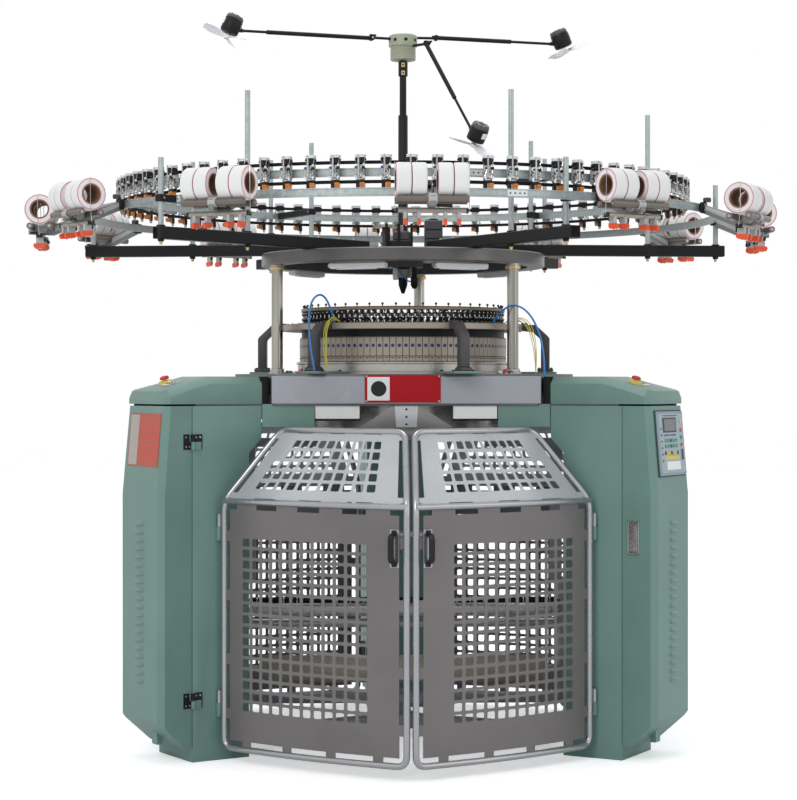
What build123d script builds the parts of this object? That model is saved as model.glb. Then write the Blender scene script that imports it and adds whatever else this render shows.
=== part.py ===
from build123d import *
import math
import os

# Industrial circular knitting machine, in millimetres.
# The machine's axis is Z, the floor is z = 0 and the front faces -Y.
# An angle is counted in degrees from the front towards +X.
# A piece is drawn pointing along +X (its own "outwards") and is then turned to its place.

# layout
SIDE_COUNT = 3
LEG_ANGLES = {"left": -60, "right": 60, "rear": 180}
RUN_GAP = 0.3
SEAT_GAP = 0.2

# legs
WALL = 8
LEG_SPLIT = 1133
LEG_INNER = 800
FOOT_INNER = 860
HALF_AT_SPLIT = 160
HALF_AT_INNER = 150
LEG_TOP = 1490
HAUNCH_Z = 1290

# cabinet doors
DOOR_WALL = 4
DOOR_FACE = 1300
DOOR_TOP_FACE = 1268
DOOR_HALF = 170
CHAMFER_RUN = 25
DOOR_BOTTOM = 60
BEVEL_START = 1172
BEVEL_TOP = 180
KNEE = 1117
DOOR_OPEN_GAP = 0.3
LOUVRE_COUNT = 20
LOUVRE_WIDTH = 72
LOUVRE_HEIGHT = 12
LOUVRE_PITCH = 34.7
LOUVRE_LOW = 330
HINGE_OFFSET = 12
HINGE_RADIUS = 9
HINGE_LENGTH = 65
HINGE_HEIGHTS = (260, 1340)
LATCH_LOW = 870
LATCH_HEIGHT = 138
LATCH_WIDTH = 57
LATCH_START = 30
LATCH_RIM = 5
LATCH_BORDER = 5
LATCH_PLAY = 1
LATCH_SWING = 3
STUB_SETBACK = 70
STUB_LENGTH = 25
STUB_WIDTH = 50
STUB_DROP = 4

# caps over the legs
CAP_BOTTOM = 1498
CAP_HIGH = 1614
CAP_LOW = 1552
CAP_HIGH_END = 1040
CAP_OVERHANG = 3
CAP_WALL = 6
CAP_CHAMFER = 30
STOP_AT = 1150
STOP_SIDE = -60
STOP_HEAD = 20
STOP_STEM = 8
STOP_TRAVEL = 5
STOP_SEAT = 12

# bed
BED_TOP = 1626
BED_PLATE = 11
BEAM_FACE = 540
BEAM_COVER = 6
BEAM_HALF = 575
BED_LEG_SIDE = 755
BED_ARM_END = 1110
BED_ARM_TOP = 1535
BED_BORE = 410
GASKET_WIDTH = 35
NAME_PLATE = (324, 118, 3)

# knitting head
BASE_OUTER = 480
BASE_TOP = 1680
EAR_OUTER = 690
EAR_WIDTH = 130
EAR_THICK = 11
EAR_FIRST = 22
CAM_COUNT = 102
CAM_OUTER = 465
CAM_TOP = 1789
CYLINDER_OUTER = 433
NECK_WALL = 12
CYLINDER_TOP = 1835
CYLINDER_GAP = 1.5
GEAR_OUTER = 452
GEAR_TOP = 1672
COLLAR_OUTER = 456
SINKER_BOTTOM = 1818
SINKER_OUTER = 541
SINKER_TOP = 1847
GUIDE_OUTER = 455
GUIDE_TOP = 1919
GUIDE_THICK = 16
GUIDE_BLOCKS = 34
GUIDE_BLOCK_TOP = 1895
BRACKET_FOOT = (622, 676)
BRACKET_WIDTH = 50
BRACKET_SHOULDER = 1790

# columns and top disc
COLUMN_RADIUS = 25
COLUMN_AT = 600
COLUMN_FIRST = -69
DISC_BOTTOM = 2106
DISC_TOP = 2163
DISC_OUTER = 636
DISC_RIM = 76
DISC_PLATE = 12
DISC_HUB = 90

# creel arms: angle, end radius, inner rod radius, its top, outer rod radius, its top
ARM_TABLE = [
    (-98.0, 1460, 965, 2594, 1428, 2490),
    (-42.6, 1500, 988, 2807, 1477, 2490),
    (28.4, 1370, 898, 2807, 1302, 2490),
    (93.4, 1470, 1118, 2807, 1432, 2490),
    (145.4, 1400, 1163, 2786, 1302, 2710),
    (-151.6, 1450, 890, 2754, 1330, 2710),
]
ARM_SIZE = 50
ARM_START = 250
ROD_RADIUS = 12
ROD_CLEAR = 1.2
CLAMP_SIZE = 30

# rings carried by the rods
FEEDER_RING = 1227
FEEDER_RING_Z = 2420
RING_BAR = 12
RING_HEIGHT = 34
OUTER_RING = 1398
OUTER_RING_Z = 2327
FEEDER_COUNT = 78
FEEDER_DEPTH = 50
FEEDER_WIDTH = 36
FEEDER_BOTTOM = 2335
FEEDER_TOP = 2487
BELT_LEVELS = (2382, 2459)
BELT_HEIGHT = 14
BELT_THICK = 2
BELT_CLEAR = 0.3
BELT_SIDES = 26

# elastane stands
STAND_COUNT = 12
STAND_FIRST = 2.3
ROLL_AT = 1612
ROLL_Z = 2352
ROLL_RADIUS = 67.5
ROLL_PAIR = 118
ROLL_GAP = 41
DRIVE_RADIUS = 17
DRIVE_TURN = 30
STAND_PLATE = 20
FLAG_DROP = 70

# quality pulley on the disc
PULLEY_AT = (-77, -60)
PULLEY_LOW = 2282

# fan
POST_RADIUS = 30
POST_STEP = 2700
POST_THIN = 20
POST_TOP = 3040
HUB_RADIUS = 65
HUB_TOP = 3156
ELBOW_AT = 150
ELBOW_RADIUS = 18
ELBOW_THICK = 12
FAN_SIDE = 7
FAN_TUBE = 11
MOTOR_RADIUS = 42
MOTOR_LENGTH = 84
BLADE_REACH = 105
BLADE_WIDTH = 46
BLADE_THICK = 3
FAN_SHAFT = 5
FAN_SHAFT_OUT = 10
# angle, tube length after the elbow, droop in degrees, stub height
FAN_ARMS = {
    "left": (-71.6, 611, 0.0, 3135),
    "right": (95.0, 536, 2.0, 3145),
    "drooping": (43.4, 497, 55.6, 3102),
}

# gates, in the gate's own frame: x runs from the hinge to the free end, -y is outwards
GATE_HINGE = (1011, 170)
GATE_TURN = -35
TUBE = 13.5
TUBE_START = 27
TUBE_END = 943
RAIL_Z = 60
MID_Z = 1092
TOP_Z = 1388
LEAN = 171
TOP_START = 197
TOP_END = 823
BULGE = 33
BEND = 38
SHEET = 3
SHEET_GAP = 20
TAB_DEPTH = 2
HOLE_STEP = 47
WINDOW_BAR = 28
# holes in half a sheet's width and in its height, for the lower and the upper sheet
HOLE_GRIDS = ((6, 16), (4, 4))
# windows that stand for those holes on the front gates and on the others
FRONT_WINDOWS = ((3, 4), (2, 1))
OTHER_WINDOWS = ((1, 4), (1, 1))
GATE_BARREL = 10
GATE_BARREL_HALF = 55
GATE_HINGE_HEIGHTS = (240, 980)
HANDLE_LOW = 857
HANDLE_LENGTH = 140
HANDLE_WIDTH = 30
HANDLE_REACH = 38
HANDLE_BAR = 12
HANDLE_FROM_END = 38

# take-down frame
TAKE_HALF = 715
TAKE_PLATE = 12
TAKE_DEPTH = 300
TAKE_LOW = 150
TAKE_SIDE_TOP = 720
TAKE_TOP = 1360
TAKE_POST = 50
TAKE_RING = 24
PIVOT_RADIUS = 30
PIVOT_GAP = 0.05
SPIDER_LOW = 40
SPIDER_TOP = 100
SPIDER_WIDTH = 80
SPIDER_BOSS = 80
ROLLER_RADIUS = 30
ROLLER_Y = -40
ROLLER_Z = 570
PRESS_RADIUS = 25
PRESS_TURN = 30
CLOTH_RADIUS = 62
CLOTH_Z = 300
SHAFT_GAP = 0.05

FEET = (Align.CENTER, Align.CENTER, Align.MIN)
CORNER = (Align.MIN, Align.MIN, Align.MIN)


def turned(shape, angle):
    """Turn a piece drawn along +X to its angle round the machine."""
    return Rot(0, 0, angle - 90) * shape


def around(shape, count, first=0.0):
    """Copies of a piece, evenly spread round the axis."""
    return [turned(shape, first + 360 / count * index) for index in range(count)]


def block(x_low, x_high, y_low, y_high, z_low, z_high):
    size = Box(x_high - x_low, y_high - y_low, z_high - z_low, align=CORNER)
    return Pos(x_low, y_low, z_low) * size


def disc(radius, low, high):
    return Pos(0, 0, low) * Cylinder(radius, high - low, align=FEET)


def ring(outer, inner, low, high):
    return disc(outer, low, high) - disc(inner, low, high)


def revolved(points):
    """Turn an outline of (radius, z) points round the axis."""
    return revolve(make_face(Plane.XZ * Polyline(*points, close=True)), Axis.Z)


def plan_prism(points, low, high):
    face = make_face(Plane.XY.offset(low) * Polyline(*points, close=True))
    return extrude(face, amount=high - low)


def side_prism(points, half_width):
    """Extrude an outline of (radius, z) points to both sides."""
    face = make_face(Plane.XZ * Polyline(*points, close=True))
    return extrude(face, amount=half_width, both=True)


def mirrored(points):
    """Close a plan outline with its mirror image across the radial line."""
    return points + [(x, -y) for x, y in reversed(points)]


def bar(start, end, radius):
    """Straight bar with eight flats, which keeps thin tubes light."""
    line = Vector(*end) - Vector(*start)
    plane = Plane(origin=start, z_dir=line)
    section = plane * RegularPolygon(radius, 8, major_radius=False)
    return extrude(section, amount=line.length)


def drum(start, end, radius):
    """Small round piece with twelve flats."""
    line = Vector(*end) - Vector(*start)
    section = Plane(origin=start, z_dir=line) * RegularPolygon(radius, 12)
    return extrude(section, amount=line.length)


def save(name, *solids):
    os.makedirs("parts", exist_ok=True)
    shape = solids[0] if len(solids) == 1 else Compound(children=list(solids))
    export_step(shape, f"parts/{name}.step")


# legs, doors and caps

def leg_half(radius):
    """Half-width of the leg's walls at a radius."""
    slope = (HALF_AT_SPLIT - HALF_AT_INNER) / (LEG_SPLIT - LEG_INNER)
    return HALF_AT_INNER + (radius - LEG_INNER) * slope


def leg_block(inset, low, top, outer):
    plan = mirrored([
        (LEG_INNER + inset, leg_half(LEG_INNER) - inset),
        (outer, leg_half(outer) - inset),
    ])
    profile = [
        (outer, low),
        (FOOT_INNER + inset, low),
        (FOOT_INNER + inset, HAUNCH_Z + inset * 0.4),
        (LEG_INNER + inset, HAUNCH_Z + FOOT_INNER - LEG_INNER + inset * 0.4),
        (LEG_INNER + inset, top),
        (outer, top),
    ]
    return plan_prism(plan, low, top) & side_prism(profile, DOOR_HALF)


def gate_barrel(z_low, z_high):
    x, y = GATE_HINGE
    section = Plane(origin=(x, y, z_low)) * RegularPolygon(GATE_BARREL, 8, major_radius=False)
    return extrude(section, amount=z_high - z_low)


def gate_lug(z_middle):
    """Fixed half of a lift-off hinge, on a block that stands on the leg's wall."""
    x, y = GATE_HINGE
    low = z_middle - GATE_BARREL_HALF
    foot = block(x - GATE_BARREL, x + GATE_BARREL, leg_half(x) - 2, y, low, z_middle)
    return foot + gate_barrel(low, z_middle)


def make_leg():
    leg = leg_block(0, 0, LEG_TOP, LEG_SPLIT)
    leg -= leg_block(WALL, DOOR_BOTTOM, LEG_TOP - WALL, LEG_SPLIT + 1)
    for z_middle in GATE_HINGE_HEIGHTS:
        leg += gate_lug(z_middle)
        leg += mirror(gate_lug(z_middle), Plane.XZ)
    for z_middle in HINGE_HEIGHTS:
        leg += door_knuckle(z_middle - HINGE_LENGTH / 2, z_middle, LEG_SPLIT - 40, LEG_SPLIT)
    return leg


def door_axis():
    return (LEG_SPLIT, HALF_AT_SPLIT + HINGE_OFFSET)


def door_knuckle(z_low, z_high, plate_from, plate_to):
    """Hinge barrel with the plate that carries it."""
    x, y = door_axis()
    barrel = bar((x, y, z_low), (x, y, z_high), HINGE_RADIUS)
    wall = leg_half(plate_from) if plate_from < LEG_SPLIT else HALF_AT_SPLIT
    plate = block(plate_from, plate_to, wall - 1, y - HINGE_RADIUS / 2, z_low, z_high)
    return barrel + plate


def door_plan(face, inset):
    """Plan of the door shell at one height, for a given place of its outer face."""
    slope = (DOOR_HALF + CHAMFER_RUN - HALF_AT_SPLIT) / (DOOR_FACE - CHAMFER_RUN - LEG_SPLIT)
    corner = face - CHAMFER_RUN
    half = HALF_AT_SPLIT + slope * (corner - LEG_SPLIT)
    start = LEG_SPLIT + DOOR_OPEN_GAP if inset == 0 else LEG_SPLIT - 5
    begin_half = HALF_AT_SPLIT + slope * (start - LEG_SPLIT)
    return mirrored([
        (start, begin_half - inset),
        (corner - inset * 0.6, half - inset),
        (face - inset, half - CHAMFER_RUN - inset * 0.6),
    ])


def door_block(inset):
    low = DOOR_BOTTOM + inset
    top = LEG_TOP - inset
    lower = plan_prism(door_plan(DOOR_FACE, inset), low, KNEE)
    knee_wire = Plane.XY.offset(KNEE) * Polyline(*door_plan(DOOR_FACE, inset), close=True)
    top_wire = Plane.XY.offset(top) * Polyline(*door_plan(DOOR_TOP_FACE, inset), close=True)
    upper = loft([make_face(knee_wire), make_face(top_wire)], ruled=True)
    profile = [
        (LEG_SPLIT - 20, low),
        (BEVEL_START - inset * 0.4, low),
        (DOOR_FACE - inset * 0.4, BEVEL_TOP + inset * 0.6),
        (DOOR_FACE + 50, BEVEL_TOP + inset * 0.6),
        (DOOR_FACE + 50, LEG_TOP + 20),
        (LEG_SPLIT - 20, LEG_TOP + 20),
    ]
    return (lower + upper) & side_prism(profile, DOOR_FACE)


def latch_plane():
    slope_x = DOOR_FACE - CHAMFER_RUN - LEG_SPLIT
    slope_y = DOOR_HALF + CHAMFER_RUN - HALF_AT_SPLIT
    along = Vector(slope_x, -slope_y, 0).normalized()
    return Plane(origin=(LEG_SPLIT, -HALF_AT_SPLIT, 0), x_dir=along, z_dir=along.cross(Vector(0, 0, 1)))


def latch_rim():
    """Raised frame round the flush latch."""
    inside = 2 * LATCH_BORDER
    outer = Box(LATCH_WIDTH, LATCH_HEIGHT, LATCH_RIM + 1)
    inner = Box(LATCH_WIDTH - inside, LATCH_HEIGHT - inside, LATCH_RIM + 3)
    place = Pos(LATCH_START + LATCH_WIDTH / 2, LATCH_LOW + LATCH_HEIGHT / 2, (LATCH_RIM - 1) / 2)
    return latch_plane() * place * (outer - inner)


def latch_span():
    """Sides of the paddle inside its rim, with room for its hinge edge to swing."""
    low = LATCH_START + LATCH_BORDER + LATCH_SWING
    high = LATCH_START + LATCH_WIDTH - LATCH_BORDER - LATCH_PLAY
    return low, high


def make_latch():
    low, high = latch_span()
    paddle = Box(high - low, LATCH_HEIGHT - 2 * (LATCH_BORDER + LATCH_PLAY), LATCH_RIM - 1)
    place = Pos((low + high) / 2, LATCH_LOW + LATCH_HEIGHT / 2, RUN_GAP + (LATCH_RIM - 1) / 2)
    return latch_plane() * place * paddle


def door_stub():
    """Foot that hangs under the door's bevel."""
    outer = DOOR_FACE - STUB_SETBACK
    half = STUB_WIDTH / 2
    stub = block(outer - STUB_LENGTH, outer, -half, half, DOOR_BOTTOM + STUB_DROP, BEVEL_TOP)
    return stub - door_block(DOOR_WALL)


def make_door():
    door = door_block(0) - door_block(DOOR_WALL)
    for index in range(LOUVRE_COUNT):
        z_low = LOUVRE_LOW + index * LOUVRE_PITCH
        half = LOUVRE_WIDTH / 2
        door -= block(DOOR_FACE - 10, DOOR_FACE + 10, -half, half, z_low, z_low + LOUVRE_HEIGHT)
    door += latch_rim() + door_stub()
    for z_middle in HINGE_HEIGHTS:
        door += door_knuckle(z_middle + RUN_GAP, z_middle + HINGE_LENGTH / 2, LEG_SPLIT + 1, LEG_SPLIT + 42)
    return door


def cap_section(radius, half, top, inset):
    """Cross-section of a cap: a flat roof with a chamfer on each side."""
    low = CAP_BOTTOM - inset
    half -= inset
    top -= inset
    points = [
        (-half, low),
        (half, low),
        (half, top - CAP_CHAMFER),
        (half - CAP_CHAMFER, top),
        (-half + CAP_CHAMFER, top),
        (-half, top - CAP_CHAMFER),
    ]
    plane = Plane(origin=(radius, 0, 0), x_dir=(0, 1, 0), z_dir=(1, 0, 0))
    return plane * make_face(Polyline(*points, close=True))


def cap_solid(inset):
    """Cap lofted through its sections, from the beam to the door's top."""
    face = DOOR_TOP_FACE + CAP_OVERHANG
    corner = face - CHAMFER_RUN
    slope = (DOOR_HALF + CHAMFER_RUN - HALF_AT_SPLIT) / (DOOR_FACE - CHAMFER_RUN - LEG_SPLIT)
    corner_half = HALF_AT_SPLIT + slope * (corner - LEG_SPLIT)

    def roof(radius):
        share = max(0, radius - CAP_HIGH_END) / (face - CAP_HIGH_END)
        return CAP_HIGH - (CAP_HIGH - CAP_LOW) * share

    stations = [
        (LEG_INNER - inset, leg_half(LEG_INNER)),
        (CAP_HIGH_END, leg_half(CAP_HIGH_END)),
        (LEG_SPLIT, HALF_AT_SPLIT),
        (corner - inset / 2, corner_half),
        (face - inset, corner_half - CHAMFER_RUN),
    ]
    sections = [cap_section(x, half + CAP_OVERHANG, roof(x), inset) for x, half in stations]
    return loft(sections, ruled=True)


def stop_plane():
    """Plane on the cap's slope, at the emergency stop."""
    run = DOOR_TOP_FACE + CAP_OVERHANG - CAP_HIGH_END
    drop = CAP_HIGH - CAP_LOW
    along = Vector(run, 0, -drop).normalized()
    z = CAP_HIGH - drop * (STOP_AT - CAP_HIGH_END) / run
    return Plane(origin=(STOP_AT, STOP_SIDE, z), x_dir=along, z_dir=along.cross(Vector(0, 1, 0)))


def make_cap():
    """Cap with the seat of the emergency stop and two small push buttons."""
    plane = stop_plane()
    cap = cap_solid(0) - cap_solid(CAP_WALL)
    cap += plane * drum((0, 0, -2), (0, 0, STOP_SEAT), 27)
    cap -= plane * bar((0, 0, -12), (0, 0, STOP_SEAT + 1), STOP_STEM + SHAFT_GAP)
    for offset in (45, 75):
        cap += plane * bar((0, offset, -1), (0, offset, 8), 8)
    return cap


def make_stop():
    """Mushroom head on an eight-sided stem that slides in the cap."""
    low = STOP_SEAT + STOP_TRAVEL + 1
    head = drum((0, 0, low), (0, 0, low + 14), STOP_HEAD)
    stem = bar((0, 0, -2), (0, 0, low), STOP_STEM)
    return stop_plane() * (head + stem)


def make_gasket():
    """Rubber band between the cap and the beam, over the bed's arm."""
    half = leg_half(LEG_INNER) + CAP_OVERHANG
    low = LEG_INNER - GASKET_WIDTH
    outer = block(low, LEG_INNER - SEAT_GAP, -half, half, CAP_BOTTOM, CAP_HIGH)
    half -= CAP_WALL
    return outer - block(low - 1, LEG_INNER + 1, -half, half, CAP_BOTTOM - 1, CAP_HIGH - CAP_WALL)


# bed

def beam_corner(distance, radius):
    """Half-width at a radius where a beam's face plane passes a leg."""
    return (distance - radius * math.cos(math.radians(60))) / math.sin(math.radians(60))


def around_legs(points):
    """Plan outline of one leg's sector, repeated round the three legs."""
    outline = []
    for angle in (-60, 60, 180):
        turn = math.radians(angle - 90)
        for x, y in points:
            across = x * math.cos(turn) - y * math.sin(turn)
            along = x * math.sin(turn) + y * math.cos(turn)
            outline.append((across, along))
    return outline


def bed_outline(distance, leg_side):
    half = beam_corner(distance, leg_side)
    return around_legs([(leg_side, -half), (leg_side, half)])


def make_bed():
    back = BEAM_FACE - BEAM_COVER
    top = plan_prism(bed_outline(back, BED_LEG_SIDE), BED_TOP - BED_PLATE, BED_TOP)
    body = plan_prism(bed_outline(back, BED_LEG_SIDE), LEG_TOP, BED_TOP - BED_PLATE)
    pocket = plan_prism(bed_outline(back - 30, BED_LEG_SIDE - 30), LEG_TOP - 1, BED_TOP - 26)
    bed = body - (pocket - disc(BED_BORE + 25, LEG_TOP - 2, BED_TOP)) + top
    half = leg_half(LEG_INNER) + CAP_OVERHANG - CAP_WALL - SEAT_GAP
    for angle in LEG_ANGLES.values():
        arm = block(BED_LEG_SIDE - 30, BED_ARM_END, -half, half, LEG_TOP, BED_ARM_TOP)
        bed += turned(arm, angle)
    return bed - disc(BED_BORE, LEG_TOP - 2, BED_TOP + 2)


def make_beam_cover():
    cover = block(BEAM_FACE - BEAM_COVER, BEAM_FACE, -BEAM_HALF, BEAM_HALF, CAP_BOTTOM, BED_TOP - BED_PLATE)
    return fillet(cover.edges().filter_by(Axis.Y).sort_by(Axis.X)[-2:], 4)


def make_name_plate():
    length, height, thick = NAME_PLATE
    middle = (CAP_BOTTOM + BED_TOP) / 2
    plate = Box(thick, length, height, align=(Align.MIN, Align.CENTER, Align.CENTER))
    return Pos(BEAM_FACE, 0, middle) * plate


def make_shields():
    """White panels and the spreader cover under one beam."""
    face = BEAM_FACE - 24
    panels = []
    for side in (-1, 1):
        inner = 200 * side
        outer = 388 * side
        panels.append(block(face, face + 10, min(inner, outer), max(inner, outer), 1425, LEG_TOP))
    spread = Polyline((-56, LEG_TOP), (56, LEG_TOP), (200, 1395), (-200, 1395), close=True)
    cover = Plane(origin=(face, 0, 0), x_dir=(0, 1, 0), z_dir=(1, 0, 0)) * make_face(spread)
    return panels + [extrude(cover, amount=10)]


# knitting head

def make_base_ring():
    base = revolved([
        (GEAR_OUTER + CYLINDER_GAP, BED_TOP),
        (BASE_OUTER, BED_TOP),
        (BASE_OUTER, BASE_TOP),
        (CYLINDER_OUTER + CYLINDER_GAP + 2, BASE_TOP),
        (CYLINDER_OUTER + CYLINDER_GAP + 2, GEAR_TOP + 2),
        (GEAR_OUTER + CYLINDER_GAP, GEAR_TOP + 2),
    ])
    ear = block(BASE_OUTER - 15, EAR_OUTER, -EAR_WIDTH / 2, EAR_WIDTH / 2, BED_TOP, BED_TOP + EAR_THICK)
    for copy in around(ear, 6, EAR_FIRST):
        base += copy
    return base


def make_cam_boxes():
    """Closed ring of cam boxes, one flat face for each box."""
    outer = Plane.XY.offset(BASE_TOP) * RegularPolygon(CAM_OUTER, CAM_COUNT, major_radius=False)
    body = extrude(outer, amount=CAM_TOP - BASE_TOP)
    return body - disc(CYLINDER_OUTER + CYLINDER_GAP, BASE_TOP - 1, CAM_TOP + 1)


def make_sinker_ring():
    inner = CYLINDER_OUTER + CYLINDER_GAP
    return revolved([
        (inner, CAM_TOP),
        (COLLAR_OUTER, CAM_TOP),
        (COLLAR_OUTER, SINKER_BOTTOM),
        (SINKER_OUTER, SINKER_BOTTOM),
        (SINKER_OUTER, SINKER_TOP),
        (inner, SINKER_TOP),
    ])


def make_guide_ring():
    """Yarn guide ring on its posts, with the blocks outside it."""
    low = GUIDE_TOP - GUIDE_THICK
    guide = ring(GUIDE_OUTER, GUIDE_OUTER - 20, low, GUIDE_TOP)
    post = block(GUIDE_OUTER - 16, GUIDE_OUTER - 4, -6, 6, SINKER_TOP, low)
    for copy in around(post, 6, EAR_FIRST):
        guide += copy
    return guide


def make_guide_blocks():
    block_low = block(478, 524, -16, 16, SINKER_TOP, GUIDE_BLOCK_TOP)
    return around(block_low, GUIDE_BLOCKS)


def make_cylinder():
    """Needle cylinder, its gear flange and the neck that carries the take-down frame."""
    neck = BED_BORE - 10
    return revolved([
        (neck - NECK_WALL, TAKE_TOP),
        (neck, TAKE_TOP),
        (neck, BED_TOP + RUN_GAP),
        (GEAR_OUTER, BED_TOP + RUN_GAP),
        (GEAR_OUTER, GEAR_TOP),
        (CYLINDER_OUTER, GEAR_TOP),
        (CYLINDER_OUTER, CYLINDER_TOP),
        (neck - NECK_WALL, CYLINDER_TOP),
    ])


def make_ring_bracket():
    foot_in, foot_out = BRACKET_FOOT
    seat = SINKER_OUTER + RUN_GAP
    foot_z = BED_TOP + EAR_THICK
    profile = [
        (foot_in, foot_z),
        (foot_out, foot_z),
        (foot_out - 12, BRACKET_SHOULDER),
        (foot_in - 22, SINKER_TOP),
        (seat, SINKER_TOP),
        (seat, SINKER_BOTTOM),
        (foot_in - 40, SINKER_BOTTOM - 4),
        (foot_in, BRACKET_SHOULDER - 20),
    ]
    return side_prism(profile, BRACKET_WIDTH / 2)


def make_column():
    return drum((COLUMN_AT, 0, BED_TOP), (COLUMN_AT, 0, DISC_BOTTOM), COLUMN_RADIUS)


def make_top_disc():
    ceiling = DISC_TOP - DISC_PLATE
    rim = DISC_OUTER - DISC_RIM
    return revolved([
        (0, DISC_BOTTOM),
        (DISC_HUB, DISC_BOTTOM),
        (DISC_HUB, ceiling),
        (rim, ceiling),
        (rim, DISC_BOTTOM),
        (DISC_OUTER, DISC_BOTTOM),
        (DISC_OUTER, DISC_TOP),
        (0, DISC_TOP),
    ])


# creel

def make_arm(end):
    half = ARM_SIZE / 2
    return block(ARM_START, end, -half, half, DISC_TOP, DISC_TOP + ARM_SIZE)


def make_clamp(rod_at, ring_at, z_middle):
    """Block between a rod and a ring, from face to face."""
    half = CLAMP_SIZE / 2
    if rod_at < ring_at:
        low, high = rod_at + ROD_RADIUS + ROD_CLEAR, ring_at - RING_BAR / 2 - 0.5
    else:
        low, high = ring_at + RING_BAR / 2 + SEAT_GAP, rod_at - ROD_RADIUS - ROD_CLEAR
    return block(low, high, -half, half, z_middle - half, z_middle + half)


def make_rod(at, top):
    return bar((at, 0, DISC_TOP + ARM_SIZE), (at, 0, top), ROD_RADIUS)


def make_flat_ring(radius, z_middle):
    half = RING_HEIGHT / 2
    return ring(radius + RING_BAR / 2, radius - RING_BAR / 2, z_middle - half, z_middle + half)


def feeder_seat():
    """Radius of the feeders' inner faces, against the ring."""
    return FEEDER_RING + RING_BAR / 2 + SEAT_GAP


def make_feeder():
    """Yarn feeder on the ring, as one tapered body."""
    seat = feeder_seat()
    far = seat + FEEDER_DEPTH
    profile = [
        (seat, BELT_LEVELS[0] - 12),
        (far - 10, FEEDER_BOTTOM),
        (far, FEEDER_TOP),
        (seat, BELT_LEVELS[1] + 16),
    ]
    return side_prism(profile, FEEDER_WIDTH / 2)


def make_belt(z_middle):
    """Drive belt that runs against the feeders, with a corner at every third one."""
    outer_radius = feeder_seat() - BELT_CLEAR
    plane = Plane.XY.offset(z_middle - BELT_HEIGHT / 2)
    outer = RegularPolygon(outer_radius, BELT_SIDES)
    inner = RegularPolygon(outer_radius - BELT_THICK, BELT_SIDES)
    return turned(extrude(plane * (outer - inner), amount=BELT_HEIGHT), 0)


def make_stand():
    """Elastane stand: plate on the outer ring, two drive rollers and the stop sensors."""
    seat = OUTER_RING + RING_BAR / 2 + SEAT_GAP
    reach = ROLL_RADIUS + DRIVE_RADIUS + RUN_GAP
    spread = reach * math.sin(math.radians(DRIVE_TURN))
    drive_z = ROLL_Z - reach * math.cos(math.radians(DRIVE_TURN))
    half = ROLL_PAIR + ROLL_GAP / 2
    plate = side_prism([
        (seat, OUTER_RING_Z + RING_HEIGHT / 2),
        (seat, OUTER_RING_Z - RING_HEIGHT / 2),
        (ROLL_AT - spread, drive_z - 30),
        (ROLL_AT + spread + 20, drive_z - 30),
        (ROLL_AT + spread + 20, drive_z + 20),
        (ROLL_AT - spread - 30, drive_z + 20),
    ], STAND_PLATE / 2)
    for side in (-1, 1):
        section = Plane(origin=(ROLL_AT + side * spread, 0, drive_z), x_dir=(1, 0, 0), z_dir=(0, 1, 0))
        plate += extrude(section * RegularPolygon(DRIVE_RADIUS, 6), amount=half, both=True)
    low = drive_z - 30
    plate += block(ROLL_AT - 10, ROLL_AT + 10, -half, half, low - 20, low)
    for side in (-1, 1):
        middle = side * (ROLL_GAP + ROLL_PAIR) / 2
        plate += block(ROLL_AT - 14, ROLL_AT + 14, middle - 35, middle + 35, low - FLAG_DROP, low - 20)
    return plate


def make_rolls():
    """The two pairs of elastane rolls on one stand, each pair side by side."""
    rolls = []
    for side in (-1, 1):
        near = side * ROLL_GAP / 2
        far = near + side * ROLL_PAIR
        rolls.append(drum((ROLL_AT, near, ROLL_Z), (ROLL_AT, far, ROLL_Z), ROLL_RADIUS))
    return rolls


# drive unit on the disc

def make_drive_block():
    """Posts and gear housings of the quality pulley unit, beside the fan's post."""
    x, y = PULLEY_AT
    foot = bar((x, y, DISC_TOP), (x, y, PULLEY_LOW), 22)
    post = bar((x, y, PULLEY_LOW), (x, y, 2322), 8)
    housing = block(-60, 40, -150, -70, DISC_TOP, 2263)
    case = block(95, 175, -90, 0, DISC_TOP, 2322)
    return [foot + post, housing, case]


def make_pulley():
    x, y = PULLEY_AT
    low = PULLEY_LOW + RUN_GAP
    wheel = drum((x, y, low), (x, y, low + 12), 62)
    return wheel - Pos(x, y, 0) * disc(8 / math.cos(math.pi / 8) + SHAFT_GAP, low - 1, low + 13)


def make_spindle():
    """Stepped spindle housing under the disc, and the lubricator beside it."""
    spindle = drum((0, 0, 2060), (0, 0, DISC_BOTTOM), 40) + bar((0, 0, 1990), (0, 0, 2060), 20)
    side = bar((50, -45, 2010), (50, -45, DISC_BOTTOM), 17)
    return [spindle, side]


# fan

def make_fan_post():
    lower = drum((0, 0, DISC_TOP), (0, 0, POST_STEP), POST_RADIUS)
    return lower + drum((0, 0, POST_STEP), (0, 0, POST_TOP), POST_THIN)


def fan_place(angle, height):
    return Pos(0, 0, height) * Rot(0, 0, angle - 90)


def make_fan_hub():
    hub = drum((0, 0, POST_TOP + RUN_GAP), (0, 0, HUB_TOP), HUB_RADIUS)
    for angle, length, droop, height in FAN_ARMS.values():
        eye = bar((ELBOW_AT, SEAT_GAP, 0), (ELBOW_AT, ELBOW_THICK, 0), ELBOW_RADIUS)
        stub = bar((HUB_RADIUS - 12, FAN_SIDE, 0), (ELBOW_AT - 8, FAN_SIDE, 0), 6)
        hub += fan_place(angle, height) * (eye + stub)
    return hub


def tilt_at_elbow(droop):
    return Pos(ELBOW_AT, 0, 0) * Rot(0, droop, 0)


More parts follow.
